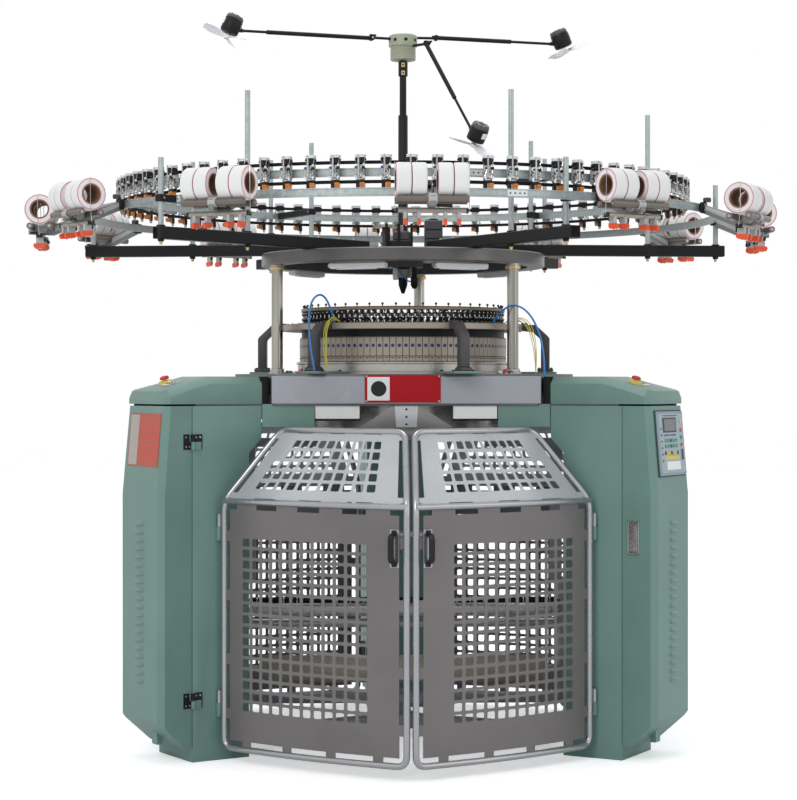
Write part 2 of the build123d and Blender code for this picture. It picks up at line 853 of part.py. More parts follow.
def make_fan_arm(angle, length, droop, height):
    """Tube from the elbow to the motor, drawn along +X from the elbow."""
    eye = bar((0, -ELBOW_THICK, 0), (0, -SEAT_GAP, 0), ELBOW_RADIUS)
    tube = bar((8, -FAN_SIDE, 0), (length * 0.5, -FAN_SIDE, 0), 6)
    sleeve = bar((length * 0.5, -FAN_SIDE, 0), (length, -FAN_SIDE, 0), FAN_TUBE)
    half = MOTOR_LENGTH / 2
    motor = drum((0, 0, -half), (0, 0, half), MOTOR_RADIUS)
    shaft = bar((0, 0, -half - FAN_SHAFT_OUT), (0, 0, -half), FAN_SHAFT)
    arm = eye + tube + sleeve + motor_place(length) * (motor + shaft)
    return fan_place(angle, height) * tilt_at_elbow(droop) * arm


def motor_place(length):
    return Pos(length + MOTOR_RADIUS - 8, -FAN_SIDE, 25) * Rot(0, -25, 0)


def make_blades(angle, length, droop, height):
    """Three-blade propeller, seated under the end of the motor's shaft."""
    hub = bar((0, 0, -18), (0, 0, 0), 14)
    for index in range(3):
        blade = Rot(22, 0, 0) * Box(BLADE_REACH - 12, BLADE_WIDTH, BLADE_THICK)
        hub += Rot(0, 0, 120 * index) * Pos(BLADE_REACH / 2 + 8, 0, -9) * blade
    place = motor_place(length) * Pos(0, 0, -MOTOR_LENGTH / 2 - FAN_SHAFT_OUT - RUN_GAP)
    return fan_place(angle, height) * tilt_at_elbow(droop) * place * hub


# gates

def gate_points():
    """Corners of the tube frame: hinge side up, top, then the free side down."""
    middle = (TUBE_START + TUBE_END) / 2
    slope = BULGE / (middle - TUBE_START)
    low = Vector(middle, -BULGE, RAIL_Z)
    bend_mid = Vector(middle, -BULGE, MID_Z)
    top_mid = Vector((TOP_START + TOP_END) / 2, LEAN - slope * (TOP_END - TOP_START) / 2, TOP_Z)
    return {
        "low": low,
        "mid": bend_mid,
        "top": top_mid,
        "hinge_low": Vector(TUBE_START, 0, RAIL_Z),
        "hinge_mid": Vector(TUBE_START, 0, MID_Z),
        "hinge_top": Vector(TOP_START, LEAN, TOP_Z),
        "free_top": Vector(TOP_END, LEAN, TOP_Z),
        "free_mid": Vector(TUBE_END, 0, MID_Z),
        "free_low": Vector(TUBE_END, 0, RAIL_Z),
    }


def toward(start, end, distance):
    return start + (end - start).normalized() * distance


def gate_path(names):
    """Route through the named corners, with two mitred turns at each bent corner."""
    p = gate_points()
    path = []
    for index, name in enumerate(names):
        point = p[name]
        if name in ("hinge_low", "free_low", "hinge_top", "free_top"):
            path.append(toward(point, p[names[index - 1]], BEND))
            path.append(toward(point, p[names[index + 1]], BEND))
        else:
            path.append(point)
    return path


def mitred_tube(path, radius):
    line = Polyline(*path)
    section = Plane(origin=path[0], z_dir=path[1] - path[0]) * RegularPolygon(radius, 8, major_radius=False)
    return sweep(section, path=line, transition=Transition.RIGHT)


def gate_tube():
    """Bent tube frame with its middle rail."""
    frame = mitred_tube(gate_path(["low", "hinge_low", "hinge_mid", "hinge_top", "top"]), TUBE)
    frame += mitred_tube(gate_path(["low", "free_low", "free_mid", "free_top", "top"]), TUBE)
    p = gate_points()
    return frame + mitred_tube([p["hinge_mid"], p["mid"], p["free_mid"]], TUBE)


def gate_frame():
    frame = gate_tube()
    for z_middle in GATE_HINGE_HEIGHTS:
        low = z_middle + RUN_GAP
        high = z_middle + GATE_BARREL_HALF
        barrel = Plane(origin=(0, 0, low)) * RegularPolygon(GATE_BARREL, 8, major_radius=False)
        frame += extrude(barrel, amount=high - low)
        frame += block(2, TUBE_START, -4, 4, low, high)
    return frame


def half_plane(start, mid, up):
    along = (mid - start).normalized()
    normal = along.cross(up - start).normalized()
    return Plane(origin=start, x_dir=along, z_dir=normal)


def panel(corners):
    """Flat sheet through four corners."""
    normal = (corners[1] - corners[0]).cross(corners[2] - corners[0]).normalized()
    face = make_face(Polyline(*corners, close=True))
    return extrude(face, amount=SHEET / 2, both=True, dir=normal)


def sheet_half(start_low, mid_low, mid_high, start_high):
    edge = TUBE + SHEET_GAP
    along = (mid_low - start_low).normalized()
    up_start = (start_high - start_low).normalized()
    up_mid = (mid_high - mid_low).normalized()
    corners = [
        start_low + along * edge + up_start * edge,
        mid_low + up_mid * edge,
        mid_high - up_mid * edge,
        start_high + along * edge - up_start * edge,
    ]
    return corners


def tab(start, end, width):
    """Short strap from the sheet's edge to the tube."""
    line = end - start
    middle = start + line * 0.5
    plane = Plane(origin=middle, x_dir=line, z_dir=line.cross(Vector(0, 0, 1)).normalized())
    return plane * Box(line.length, width, SHEET)


def gate_sheet(window_counts):
    """Lower and upper perforated sheets, folded slightly at the middle.

    Each window stands for a block of the small square holes.
    """
    p = gate_points()
    sheets = []
    levels = zip(("low", "mid"), ("mid", "top"), HOLE_GRIDS, window_counts)
    for low, high, (holes_x, holes_y), (columns, rows) in levels:
        pitch_x = holes_x * HOLE_STEP / columns
        pitch_y = holes_y * HOLE_STEP / rows
        sheet = None
        for side in ("hinge", "free"):
            start_low, start_high = p[f"{side}_{low}"], p[f"{side}_{high}"]
            mid_low, mid_high = p[low], p[high]
            corners = sheet_half(start_low, mid_low, mid_high, start_high)
            half = panel(corners)
            plane = half_plane(mid_low, start_low, mid_high)
            first_y = (plane.to_local_coords(mid_high).Y - (rows - 1) * pitch_y) / 2
            for column in range(columns):
                for row in range(rows):
                    place = Pos((column + 0.5) * pitch_x, first_y + row * pitch_y, 0)
                    half -= plane * place * Box(pitch_x - WINDOW_BAR, pitch_y - WINDOW_BAR, SHEET * 4)
            for strap in sheet_tabs(corners, start_low - mid_low):
                half += strap
            sheet = half if sheet is None else sheet + half
        sheets.append(sheet)
    return sheets


def sheet_tabs(corners, across):
    """Two straps from a sheet's edge into the upright tube, square to the tube."""
    edge = corners[3] - corners[0]
    up = edge.normalized()
    across = across.normalized()
    square = across - up * across.dot(up)
    reach = (TUBE + SHEET_GAP) * square.length - TUBE + TAB_DEPTH
    outward = square.normalized()
    straps = []
    for share in (0.2, 0.8):
        middle = corners[0] + edge * share
        straps.append(tab(middle - outward * 4, middle + outward * reach, 40))
    return straps


def gate_handle():
    """Bridge handle on the sheet, near the free end."""
    x_high = TUBE_END - HANDLE_FROM_END
    x_low = x_high - HANDLE_WIDTH
    middle = (TUBE_START + TUBE_END) / 2
    slope = BULGE / (TUBE_END - middle)
    face = -slope * (TUBE_END - x_low) - SHEET / 2 - SEAT_GAP
    top = HANDLE_LOW + HANDLE_LENGTH
    whole = block(x_low, x_high, face - HANDLE_REACH, face, HANDLE_LOW, top)
    inner = face - HANDLE_REACH + HANDLE_BAR
    return whole - block(x_low - 1, x_high + 1, inner, face + 1, HANDLE_LOW + 18, top - 18)


def place_gate(shape, side, hand):
    """Put a gate on its hinge; hand -1 is the left gate of a pair, 1 the right one."""
    x, y = GATE_HINGE
    turn = math.radians(LEG_ANGLES["left"] - 90)
    hinge_x = x * math.cos(turn) - y * math.sin(turn)
    hinge_y = x * math.sin(turn) + y * math.cos(turn)
    placed = Pos(hinge_x, hinge_y, 0) * Rot(0, 0, GATE_TURN) * shape
    if hand > 0:
        placed = mirror(placed, Plane.YZ)
    return Rot(0, 0, side * 360 / SIDE_COUNT) * placed


# take-down frame

def make_takedown():
    """Frame that turns with the cylinder: arms, side plates, cross-bar and pivot."""
    neck = BED_BORE - 10
    frame = ring(neck, neck - TAKE_RING, TAKE_TOP - 20, TAKE_TOP - RUN_GAP)
    half_post = TAKE_POST / 2
    arm_top = TAKE_TOP - 20
    for turn in (0, 180):
        side = block(neck - TAKE_RING, TAKE_HALF, -half_post, half_post, arm_top - 40, arm_top)
        side += block(TAKE_HALF - TAKE_POST, TAKE_HALF, -half_post, half_post, TAKE_SIDE_TOP - 20, arm_top)
        half_depth = TAKE_DEPTH / 2
        side += block(TAKE_HALF - TAKE_PLATE, TAKE_HALF, -half_depth, half_depth, TAKE_LOW, TAKE_SIDE_TOP)
        frame += Rot(0, 0, turn) * side
    frame += block(-TAKE_HALF, TAKE_HALF, -40, 40, TAKE_LOW, TAKE_LOW + 40)
    return frame + disc(PIVOT_RADIUS, SPIDER_LOW, TAKE_LOW)


def make_roller(y, z, radius):
    """Roller between the two side plates."""
    inside = TAKE_HALF - TAKE_PLATE - RUN_GAP
    return drum((-inside, y, z), (inside, y, z), radius)


def press_place():
    """Place of the press roller, against the take-down roller at thirty degrees above it."""
    reach = ROLLER_RADIUS + PRESS_RADIUS + RUN_GAP
    turn = math.radians(PRESS_TURN)
    return (ROLLER_Y + reach * math.cos(turn), ROLLER_Z + reach * math.sin(turn))


def make_spider():
    spider = disc(SPIDER_BOSS, SPIDER_LOW, SPIDER_TOP)
    for angle in LEG_ANGLES.values():
        half = SPIDER_WIDTH / 2
        spider += turned(block(50, FOOT_INNER - SEAT_GAP, -half, half, SPIDER_LOW, SPIDER_TOP), angle)
    return spider - disc(PIVOT_RADIUS + PIVOT_GAP, SPIDER_LOW - 1, SPIDER_TOP + 1)


def make_motor():
    """Main drive motor on its bracket inside a cabinet, with its belt pulley on top."""
    middle = (FOOT_INNER + LEG_SPLIT) / 2 - 20
    motor = drum((middle, 0, 900), (middle, 0, 1200), 90)
    motor += bar((middle, 0, 1200), (middle, 0, 1240), 14)
    motor += drum((middle, 0, 1240), (middle, 0, 1280), 55)
    motor += block(FOOT_INNER + WALL, middle, -60, 60, 1185, 1200)
    return motor


# control panel

def panel_plane():
    lean = Vector(DOOR_TOP_FACE - DOOR_FACE, 0, LEG_TOP - KNEE).normalized()
    normal = Vector(0, 1, 0).cross(lean)
    return Plane(origin=(DOOR_FACE, 0, KNEE), x_dir=(0, 1, 0), z_dir=normal)


def make_control_panel():
    return panel_plane() * Pos(0, 215, 7.1) * Box(230, 260, 14)


# air hoses and signal wires: hand-set routes on straight runs with tangent arcs

def cord_tube(points, radius, name):
    """Tube on straight runs with tangent arcs, each as large as its runs allow."""
    route = [Vector(*point) for point in points]
    radii = []
    for before, point, after in zip(route, route[1:], route[2:]):
        turn = math.radians((point - before).get_angle(after - point))
        shorter = min((point - before).length, (after - point).length)
        radii.append(0.45 * shorter / math.tan(turn / 2))
    print(name, "radii", [round(value) for value in radii])
    path = FilletPolyline(*route, radius=radii)
    section = Plane(origin=path @ 0, z_dir=path % 0) * RegularPolygon(radius, 6)
    return sweep(section, path=path)


HOSE_LEFT = [
    (-308, -432, 1849.5), (-338, -478, 1975), (-412, -535, 1950),
    (-418, -562, 1780), (-392, -560, 1638.5),
]
HOSE_RIGHT = [
    (380, -372, 1850), (432, -440, 1935), (530, -505, 1900),
    (592, -528, 1740), (590, -520, 1614.5),
]
WIRE_LEFT = [(-284, -449, 1850), (-326, -492, 1890), (-356, -528, 1770), (-338, -520, 1638)]
WIRE_RIGHT = [(436, -306, 1850.5), (508, -362, 1890), (566, -425, 1770), (560, -452, 1626.5)]


def main():
    leg, door, latch, stop, cap = make_leg(), make_door(), make_latch(), make_stop(), make_cap()
    for name, angle in LEG_ANGLES.items():
        save(f"leg_{name}", turned(leg, angle))
        save(f"cabinet_door_{name}", turned(door, angle))
        save(f"door_latch_{name}", turned(latch, angle))
        save(f"e_stop_{name}", turned(stop, angle))
    save("leg_caps", *[turned(cap, angle) for angle in LEG_ANGLES.values()])
    save("cap_gaskets", *[turned(make_gasket(), angle) for angle in LEG_ANGLES.values()])
    save("control_panel", turned(make_control_panel(), LEG_ANGLES["right"]))
    save("drive_motor", turned(make_motor(), LEG_ANGLES["rear"]))

    save("bed_plate", make_bed())
    save("beam_covers", *around(make_beam_cover(), SIDE_COUNT), turned(make_name_plate(), 0))
    shields = [copy for shape in make_shields() for copy in around(shape, SIDE_COUNT)]
    save("beam_shields", *shields)
    save("floor_spider", make_spider())

    save("base_ring", make_base_ring())
    save("cam_boxes", make_cam_boxes())
    save("sinker_ring", make_sinker_ring())
    save("guide_ring", make_guide_ring(), *make_guide_blocks())
    save("needle_cylinder", make_cylinder())
    save("ring_brackets", *around(make_ring_bracket(), 6, EAR_FIRST))
    save("columns", *around(make_column(), SIDE_COUNT, COLUMN_FIRST))
    save("top_disc", make_top_disc())
    save("drive_block", *make_drive_block(), *make_spindle())
    save("quality_pulley", make_pulley())

    arms, rods = [], []
    for angle, end, inner_at, inner_top, outer_at, outer_top in ARM_TABLE:
        arms.append(turned(make_arm(end), angle))
        arms.append(turned(make_clamp(inner_at, FEEDER_RING, FEEDER_RING_Z), angle))
        arms.append(turned(make_clamp(outer_at, OUTER_RING, OUTER_RING_Z), angle))
        rods.append(turned(make_rod(inner_at, inner_top), angle))
        rods.append(turned(make_rod(outer_at, outer_top), angle))
    save("support_arms", *arms)
    save("ring_rods", *rods)
    save("feeder_ring", make_flat_ring(FEEDER_RING, FEEDER_RING_Z))
    save("outer_ring", make_flat_ring(OUTER_RING, OUTER_RING_Z))
    save("yarn_feeders", *around(make_feeder(), FEEDER_COUNT))
    save("feed_belts", *[make_belt(level) for level in BELT_LEVELS])
    save("roll_stands", *around(make_stand(), STAND_COUNT, STAND_FIRST))
    rolls = [copy for roll in make_rolls() for copy in around(roll, STAND_COUNT, STAND_FIRST)]
    save("elastane_rolls", *rolls)

    save("fan_post", make_fan_post())
    save("fan_hub", make_fan_hub())
    for name, values in FAN_ARMS.items():
        save(f"fan_arm_{name}", make_fan_arm(*values))
        save(f"fan_blades_{name}", make_blades(*values))

    frame, handle = gate_frame(), gate_handle()
    front_sheets = gate_sheet(FRONT_WINDOWS)
    whole_gate = frame
    for sheet in gate_sheet(OTHER_WINDOWS):
        whole_gate += sheet
    for side, side_name in enumerate(("front", "right", "left")):
        for hand, hand_name in ((-1, "a"), (1, "b")):
            grip = place_gate(handle, side, hand)
            if side == 0:
                sheets = [place_gate(sheet, side, hand) for sheet in front_sheets]
                save(f"gate_frame_{side_name}_{hand_name}", place_gate(frame, side, hand), grip)
                save(f"gate_sheet_{side_name}_{hand_name}", *sheets)
            else:
                save(f"gate_frame_{side_name}_{hand_name}", place_gate(whole_gate, side, hand), grip)

    save("takedown_frame", make_takedown())
    save("takedown_roller", make_roller(ROLLER_Y, ROLLER_Z, ROLLER_RADIUS))
    save("press_roller", make_roller(*press_place(), PRESS_RADIUS))
    save("fabric_roll", make_roller(0, CLOTH_Z, CLOTH_RADIUS))

    save("air_hoses", cord_tube(HOSE_LEFT, 4, "left hose"), cord_tube(HOSE_RIGHT, 4, "right hose"))
    save("signal_wires", cord_tube(WIRE_LEFT, 3, "left wires"), cord_tube(WIRE_RIGHT, 3, "right wires"))


main()
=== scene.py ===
import math
import bmesh
import bpy
from mathutils import Matrix, Vector


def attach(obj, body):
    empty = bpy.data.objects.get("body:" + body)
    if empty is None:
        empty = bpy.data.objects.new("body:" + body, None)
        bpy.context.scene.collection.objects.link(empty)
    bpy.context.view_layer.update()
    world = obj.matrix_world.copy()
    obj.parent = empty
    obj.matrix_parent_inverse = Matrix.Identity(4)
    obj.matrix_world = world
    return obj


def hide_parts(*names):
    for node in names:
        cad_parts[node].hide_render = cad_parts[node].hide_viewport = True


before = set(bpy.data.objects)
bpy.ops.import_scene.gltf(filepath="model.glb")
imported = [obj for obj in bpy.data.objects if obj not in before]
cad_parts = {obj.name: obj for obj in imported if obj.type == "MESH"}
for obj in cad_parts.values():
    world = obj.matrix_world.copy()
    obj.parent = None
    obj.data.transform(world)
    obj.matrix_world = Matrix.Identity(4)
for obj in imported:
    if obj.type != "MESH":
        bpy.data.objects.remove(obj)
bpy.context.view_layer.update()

# heights and radii that pieces share
LEG_TOP, KNEE, DOOR_START, DOOR_FACE = 1490, 1117, 1133, 1300
BEAM_LOW, BEAM_FACE, BED_TOP = 1498, 540, 1626
BASE_TOP, CAM_FACE, CAM_TOP = 1680, 465, 1789
SINKER_LOW, SINKER_TOP, SINKER_OUTER = 1818, 1847, 541
GUIDE_LOW, GUIDE_TOP = 1903, 1919
DISC_LOW, DISC_TOP, ARM_TOP = 2106, 2163, 2213
FEEDER_RING, FEEDER_Z, OUTER_RING, OUTER_Z = 1227, 2420, 1398, 2327
# clearance under a seated piece
GAP = 0.2


# materials

def look_material(name, color, rough, scale, bump=0.15, metal=0.0, tone=0.06, grain=0.0, scuff=0.0,
                  scuff_color=(0.8, 0.8, 0.8), stretch=(1, 1, 1), coat=0.0, dust=0.0, spec=0.5):
    """Principled surface with uneven tone, roughness, fine relief, scuffs and dust.

    scale is that of the fine pattern and bump the strength of its relief.
    """
    made = bpy.data.materials.new(name)
    made.use_nodes = True
    nodes, links = made.node_tree.nodes, made.node_tree.links
    shader = nodes["Principled BSDF"]
    shader.inputs["Metallic"].default_value = metal
    shader.inputs["Coat Weight"].default_value = coat
    shader.inputs["Specular IOR Level"].default_value = spec
    place = nodes.new("ShaderNodeTexCoord")
    mapping = nodes.new("ShaderNodeMapping")
    mapping.inputs["Scale"].default_value = stretch
    links.new(place.outputs["Object"], mapping.inputs["Vector"])

    def noise(size, detail, source):
        node = nodes.new("ShaderNodeTexNoise")
        node.inputs["Scale"].default_value = size
        node.inputs["Detail"].default_value = detail
        links.new(source, node.inputs["Vector"])
        return node.outputs["Fac"]

    def spread(value, low, high, from_low=0.3, from_high=0.7):
        node = nodes.new("ShaderNodeMapRange")
        node.inputs["From Min"].default_value = from_low
        node.inputs["From Max"].default_value = from_high
        node.inputs["To Min"].default_value = low
        node.inputs["To Max"].default_value = high
        links.new(value, node.inputs["Value"])
        return node.outputs["Result"]

    def mixed(factor, first, second):
        node = nodes.new("ShaderNodeMix")
        node.data_type = "RGBA"
        links.new(factor, node.inputs["Factor"])
        for value, socket in ((first, node.inputs[6]), (second, node.inputs[7])):
            if isinstance(value, tuple):
                socket.default_value = (*value, 1)
            else:
                links.new(value, socket)
        return node.outputs[2]

    wide = noise(2.3, 4, place.outputs["Object"])
    fine = noise(scale, 6, mapping.outputs["Vector"])
    dark = tuple(max(0, c * (1 - tone)) for c in color)
    light = tuple(min(1, c * (1 + tone)) for c in color)
    base = mixed(spread(wide, 0, 1), dark, light)
    # fine pattern darkened into the colour: grain on most looks, painted reflection streaks on the column
    if grain:
        deep = tuple(c * (1 - grain) for c in color)
        base = mixed(spread(fine, 0.75, 0), base, deep)
    if scuff:
        marks = noise(9, 9, place.outputs["Object"])
        base = mixed(spread(marks, 0, scuff, 0.62, 0.72), base, scuff_color)
    if dust:
        facing = nodes.new("ShaderNodeNewGeometry")
        split = nodes.new("ShaderNodeSeparateXYZ")
        links.new(facing.outputs["Normal"], split.inputs["Vector"])
        base = mixed(spread(split.outputs["Z"], 0, dust, 0.4, 1), base, (0.55, 0.53, 0.5))
    links.new(base, shader.inputs["Base Color"])
    links.new(spread(fine, max(0, rough - 0.09), min(1, rough + 0.09)), shader.inputs["Roughness"])
    relief = nodes.new("ShaderNodeBump")
    relief.inputs["Strength"].default_value = bump
    relief.inputs["Distance"].default_value = 0.0006
    links.new(fine, relief.inputs["Height"])
    links.new(relief.outputs["Normal"], shader.inputs["Normal"])
    return made


LOOKS = {}


def look(name, *values, **more):
    LOOKS[name] = look_material(name, *values, **more)


look("teal", (0.135, 0.245, 0.208), 0.42, 260, 0.1, scuff=0.08, scuff_color=(0.22, 0.31, 0.28), dust=0.06,
     tone=0.09)
# shaded copy of the teal paint: painted shade for the door gaps, the louvre openings and the control panel's
# recess
look("teal dark", (0.028, 0.055, 0.048), 0.6, 260, 0.1)
look("beam", (0.335, 0.345, 0.375), 0.38, 200, 0.07, metal=0.2, scuff=0.08)
look("white panel", (0.78, 0.78, 0.76), 0.5, 120, 0.06, scuff=0.1, scuff_color=(0.5, 0.5, 0.48))
look("spreader", (0.21, 0.205, 0.2), 0.38, 40, 0.12, metal=0.7, stretch=(1, 1, 14), tone=0.12)
look("black", (0.009, 0.009, 0.01), 0.45, 180, 0.12, scuff=0.08, scuff_color=(0.06, 0.06, 0.06), spec=0.22)
look("black plastic", (0.01, 0.01, 0.011), 0.33, 300, 0.08, spec=0.3)
look("rubber", (0.012, 0.012, 0.012), 0.75, 150, 0.2, spec=0.2)
look("dark cast", (0.072, 0.066, 0.071), 0.45, 320, 0.28, metal=0.2, tone=0.15, spec=0.4)
look("disc", (0.135, 0.128, 0.122), 0.34, 36, 0.1, metal=0.8, stretch=(1, 1, 16), tone=0.1)
look("machined", (0.44, 0.42, 0.395), 0.33, 36, 0.1, metal=0.85, stretch=(1, 1, 16), tone=0.08, grain=0.12)
look("bed steel", (0.13, 0.13, 0.13), 0.38, 60, 0.12, metal=0.7, tone=0.12, dust=0.1)
look("cam", (0.36, 0.315, 0.26), 0.4, 160, 0.12, metal=0.4, tone=0.07, grain=0.1)
look("cam edge", (0.11, 0.095, 0.08), 0.5, 160, 0.12, metal=0.3)
look("navy", (0.012, 0.016, 0.13), 0.35, 200, 0.15)
look("guide brown", (0.24, 0.19, 0.145), 0.42, 120, 0.15, metal=0.45, tone=0.12, grain=0.15)
look("chrome", (0.6, 0.6, 0.6), 0.13, 90, 0.04, metal=1.0, tone=0.04)
look("steel", (0.43, 0.42, 0.4), 0.28, 70, 0.09, metal=0.95, stretch=(1, 1, 10), tone=0.07)
# strong vertical dark streaks on the bright columns: painted reflections
look("column", (0.46, 0.45, 0.4), 0.2, 34, 0.05, metal=1.0, stretch=(1, 1, 0.01), tone=0.08, grain=0.75)
look("zinc", (0.45, 0.5, 0.5), 0.38, 55, 0.05, metal=0.55, tone=0.07, grain=0.3, scuff=0.25,
     scuff_color=(0.66, 0.7, 0.7))
look("gate", (0.175, 0.16, 0.158), 0.4, 500, 0.02, metal=0.3, tone=0.1, scuff=0.06,
     scuff_color=(0.26, 0.25, 0.24), spec=0.4)
# lighter copy of the gate paint: painted light on the upper sheet, which leans back and catches the lamps
look("gate pale", (0.5, 0.51, 0.52), 0.3, 500, 0.02, metal=0.35, tone=0.1)
look("gate tube", (0.4, 0.4, 0.415), 0.24, 500, 0.02, metal=0.8, tone=0.07)
look("stand", (0.21, 0.21, 0.205), 0.4, 170, 0.14, metal=0.45, tone=0.08)
look("pale cast", (0.42, 0.42, 0.42), 0.45, 170, 0.12, metal=0.2)
look("drive roller", (0.17, 0.145, 0.125), 0.35, 60, 0.08, metal=0.6)
look("thread", (0.8, 0.79, 0.77), 0.8, 420, 0.35, tone=0.04, grain=0.06)
look("pink", (0.66, 0.26, 0.34), 0.8, 200, 0.15)
look("core", (0.23, 0.115, 0.06), 0.75, 160, 0.2, tone=0.15, grain=0.2)
look("red flag", (0.8, 0.085, 0.018), 0.35, 150, 0.05, tone=0.08)
look("amber", (0.62, 0.19, 0.02), 0.28, 150, 0.05, tone=0.15)
look("blue knob", (0.02, 0.05, 0.3), 0.3, 150, 0.15)
look("white plastic", (0.8, 0.8, 0.79), 0.38, 160, 0.06, tone=0.03)
look("blade", (0.84, 0.85, 0.87), 0.35, 90, 0.04, tone=0.03)
look("hub", (0.33, 0.355, 0.25), 0.45, 240, 0.14, tone=0.07)
look("brass", (0.6, 0.43, 0.19), 0.3, 90, 0.06, metal=0.95)
look("red", (0.4, 0.004, 0.01), 0.4, 200, 0.03, spec=0.2)
look("stop red", (0.6, 0.012, 0.012), 0.3, 200, 0.04)
look("yellow", (0.75, 0.55, 0.04), 0.4, 200, 0.05)
look("orange plate", (0.42, 0.07, 0.03), 0.45, 200, 0.05, tone=0.05)
look("plate grey", (0.4, 0.36, 0.33), 0.5, 200, 0.05)
look("panel", (0.24, 0.3, 0.34), 0.42, 240, 0.07)
look("panel face", (0.31, 0.39, 0.44), 0.4, 240, 0.04)
look("screen", (0.015, 0.02, 0.02), 0.12, 90, 0.02, coat=0.5)
look("key green", (0.02, 0.25, 0.1), 0.4, 200, 0.15)
look("key yellow", (0.65, 0.5, 0.03), 0.4, 200, 0.15)
look("key dark", (0.03, 0.035, 0.05), 0.4, 200, 0.15)
look("hose blue", (0.01, 0.19, 0.55), 0.28, 90, 0.04, coat=0.3)
look("wire yellow", (0.62, 0.55, 0.05), 0.4, 90, 0.06)
look("frame grey", (0.26, 0.28, 0.3), 0.45, 180, 0.12, metal=0.2, tone=0.1, dust=0.15)
look("roller", (0.55, 0.55, 0.54), 0.35, 60, 0.1, metal=0.5)
look("cloth", (0.5, 0.46, 0.38), 0.9, 500, 0.4, grain=0.1)
look("motor", (0.06, 0.07, 0.08), 0.5, 200, 0.2, dust=0.2)
look("window", (0.72, 0.75, 0.75), 0.25, 60, 0.03, tone=0.02)


# shapes

move = Matrix.Translation


def turn(degrees, axis):
    return Matrix.Rotation(math.radians(degrees), 4, axis)


class Part:
    """Points in millimetres and faces, each with the name of its look."""

    def __init__(self):
        self.points, self.faces, self.names = [], [], []

    def add(self, other, place=None):
        base = len(self.points)
        self.points += [place @ p for p in other.points] if place else list(other.points)
        flip = place is not None and place.determinant() < 0
        for face in other.faces:
            ids = tuple(i + base for i in face)
            self.faces.append(ids[::-1] if flip else ids)
        self.names += other.names
        return self


def drawn(bm, name):
    """The mesh as a Part in one look."""
    bmesh.ops.recalc_face_normals(bm, faces=bm.faces)
    bm.verts.index_update()
    part = Part()
    part.points = [v.co.copy() for v in bm.verts]
    part.faces = [tuple(v.index for v in f.verts) for f in bm.faces]
    part.names = [name] * len(part.faces)
    bm.free()
    return part


def hull(points, name):
    bm = bmesh.new()
    for p in points:
        bm.verts.new(p)
    bmesh.ops.convex_hull(bm, input=bm.verts)
    bmesh.ops.dissolve_limit(bm, angle_limit=0.02, verts=bm.verts, edges=bm.edges)
    return drawn(bm, name)


def block(x0, x1, y0, y1, z0, z1, name, edge=1.5):
    """Box with every edge broken."""
    e = min(edge, (x1 - x0) / 3, (y1 - y0) / 3, (z1 - z0) / 3)
    points = []
    for x, i in ((x0, e), (x1, -e)):
        for y, j in ((y0, e), (y1, -e)):
            for z, k in ((z0, e), (z1, -e)):
                points += [(x, y + j, z + k), (x + i, y, z + k), (x + i, y + j, z)]
    return hull(points, name)


def prism(outline, low, high, name, edge=2.0):
    """Outline of (x, y) points raised from low to high, with its edges broken."""
    bm = bmesh.new()
    face = bm.faces.new([bm.verts.new((x, y, low)) for x, y in outline])
    raised = bmesh.ops.extrude_face_region(bm, geom=[face])
    moved = [v for v in raised["geom"] if isinstance(v, bmesh.types.BMVert)]
    bmesh.ops.translate(bm, verts=moved, vec=(0, 0, high - low))
    bmesh.ops.recalc_face_normals(bm, faces=bm.faces)
    if edge:
        bmesh.ops.bevel(bm, geom=list(bm.edges), offset=edge, segments=2, profile=0.6, affect="EDGES",
                        clamp_overlap=True)
    return drawn(bm, name)


def upright(part):
    """Turn a shape drawn in (x, y) into one drawn in (x, z), with its height towards -y."""
    return Part().add(part, turn(90, "X"))


def lathe(profile, name, count=32, closed=False, first=0.0, names=None):
    """Turn (radius, height) points round Z; a radius of 0 makes a point."""
    part = Part()
    rings = []
    for radius, height in profile:
        if radius == 0:
            part.points.append(Vector((0, 0, height)))
            rings.append([len(part.points) - 1] * count)
            continue
        ids = []
        for i in range(count):
            t = first + 2 * math.pi * i / count
            ids.append(len(part.points))
            part.points.append(Vector((radius * math.cos(t), radius * math.sin(t), height)))
        rings.append(ids)
    pairs = list(zip(rings, rings[1:])) + ([(rings[-1], rings[0])] if closed else [])
    for k, (low, high) in enumerate(pairs):
        for i in range(count):
            j = (i + 1) % count
            ids = [low[i], low[j], high[j], high[i]]
            ids = [v for n, v in enumerate(ids) if v not in ids[:n]]
            if len(ids) > 2:
                part.faces.append(tuple(ids))
                part.names.append(names[k] if names else name)
    return part


def mirrored(side, low, high):
    """Range from low to high on one side of the middle, its lower end first."""
    return sorted((low * side, high * side))


def disc(radius, low, high, name, count=32, edge=1.0):
    e = min(edge, radius / 3, (high - low) / 3)
    return lathe([(0, low), (radius - e, low), (radius, low + e), (radius, high - e), (radius - e, high),
                  (0, high)], name, count)


def ring(outer, inner, low, high, name, count=96, edge=1.0):
    e = min(edge, (outer - inner) / 3, (high - low) / 3)
    return lathe([(inner + e, low), (outer - e, low), (outer, low + e), (outer, high - e), (outer - e, high),
                  (inner + e, high), (inner, high - e), (inner, low + e)], name, count, closed=True)


def along(part, start, end):
    """Put a shape drawn upwards from the origin on the line from start to end."""
    line = Vector(end) - Vector(start)
    return Part().add(part, move(start) @ line.to_track_quat("Z", "Y").to_matrix().to_4x4())


def rod(start, end, radius, name, count=14, edge=0.8):
    length = (Vector(end) - Vector(start)).length
    return along(disc(radius, 0, length, name, count, edge), start, end)


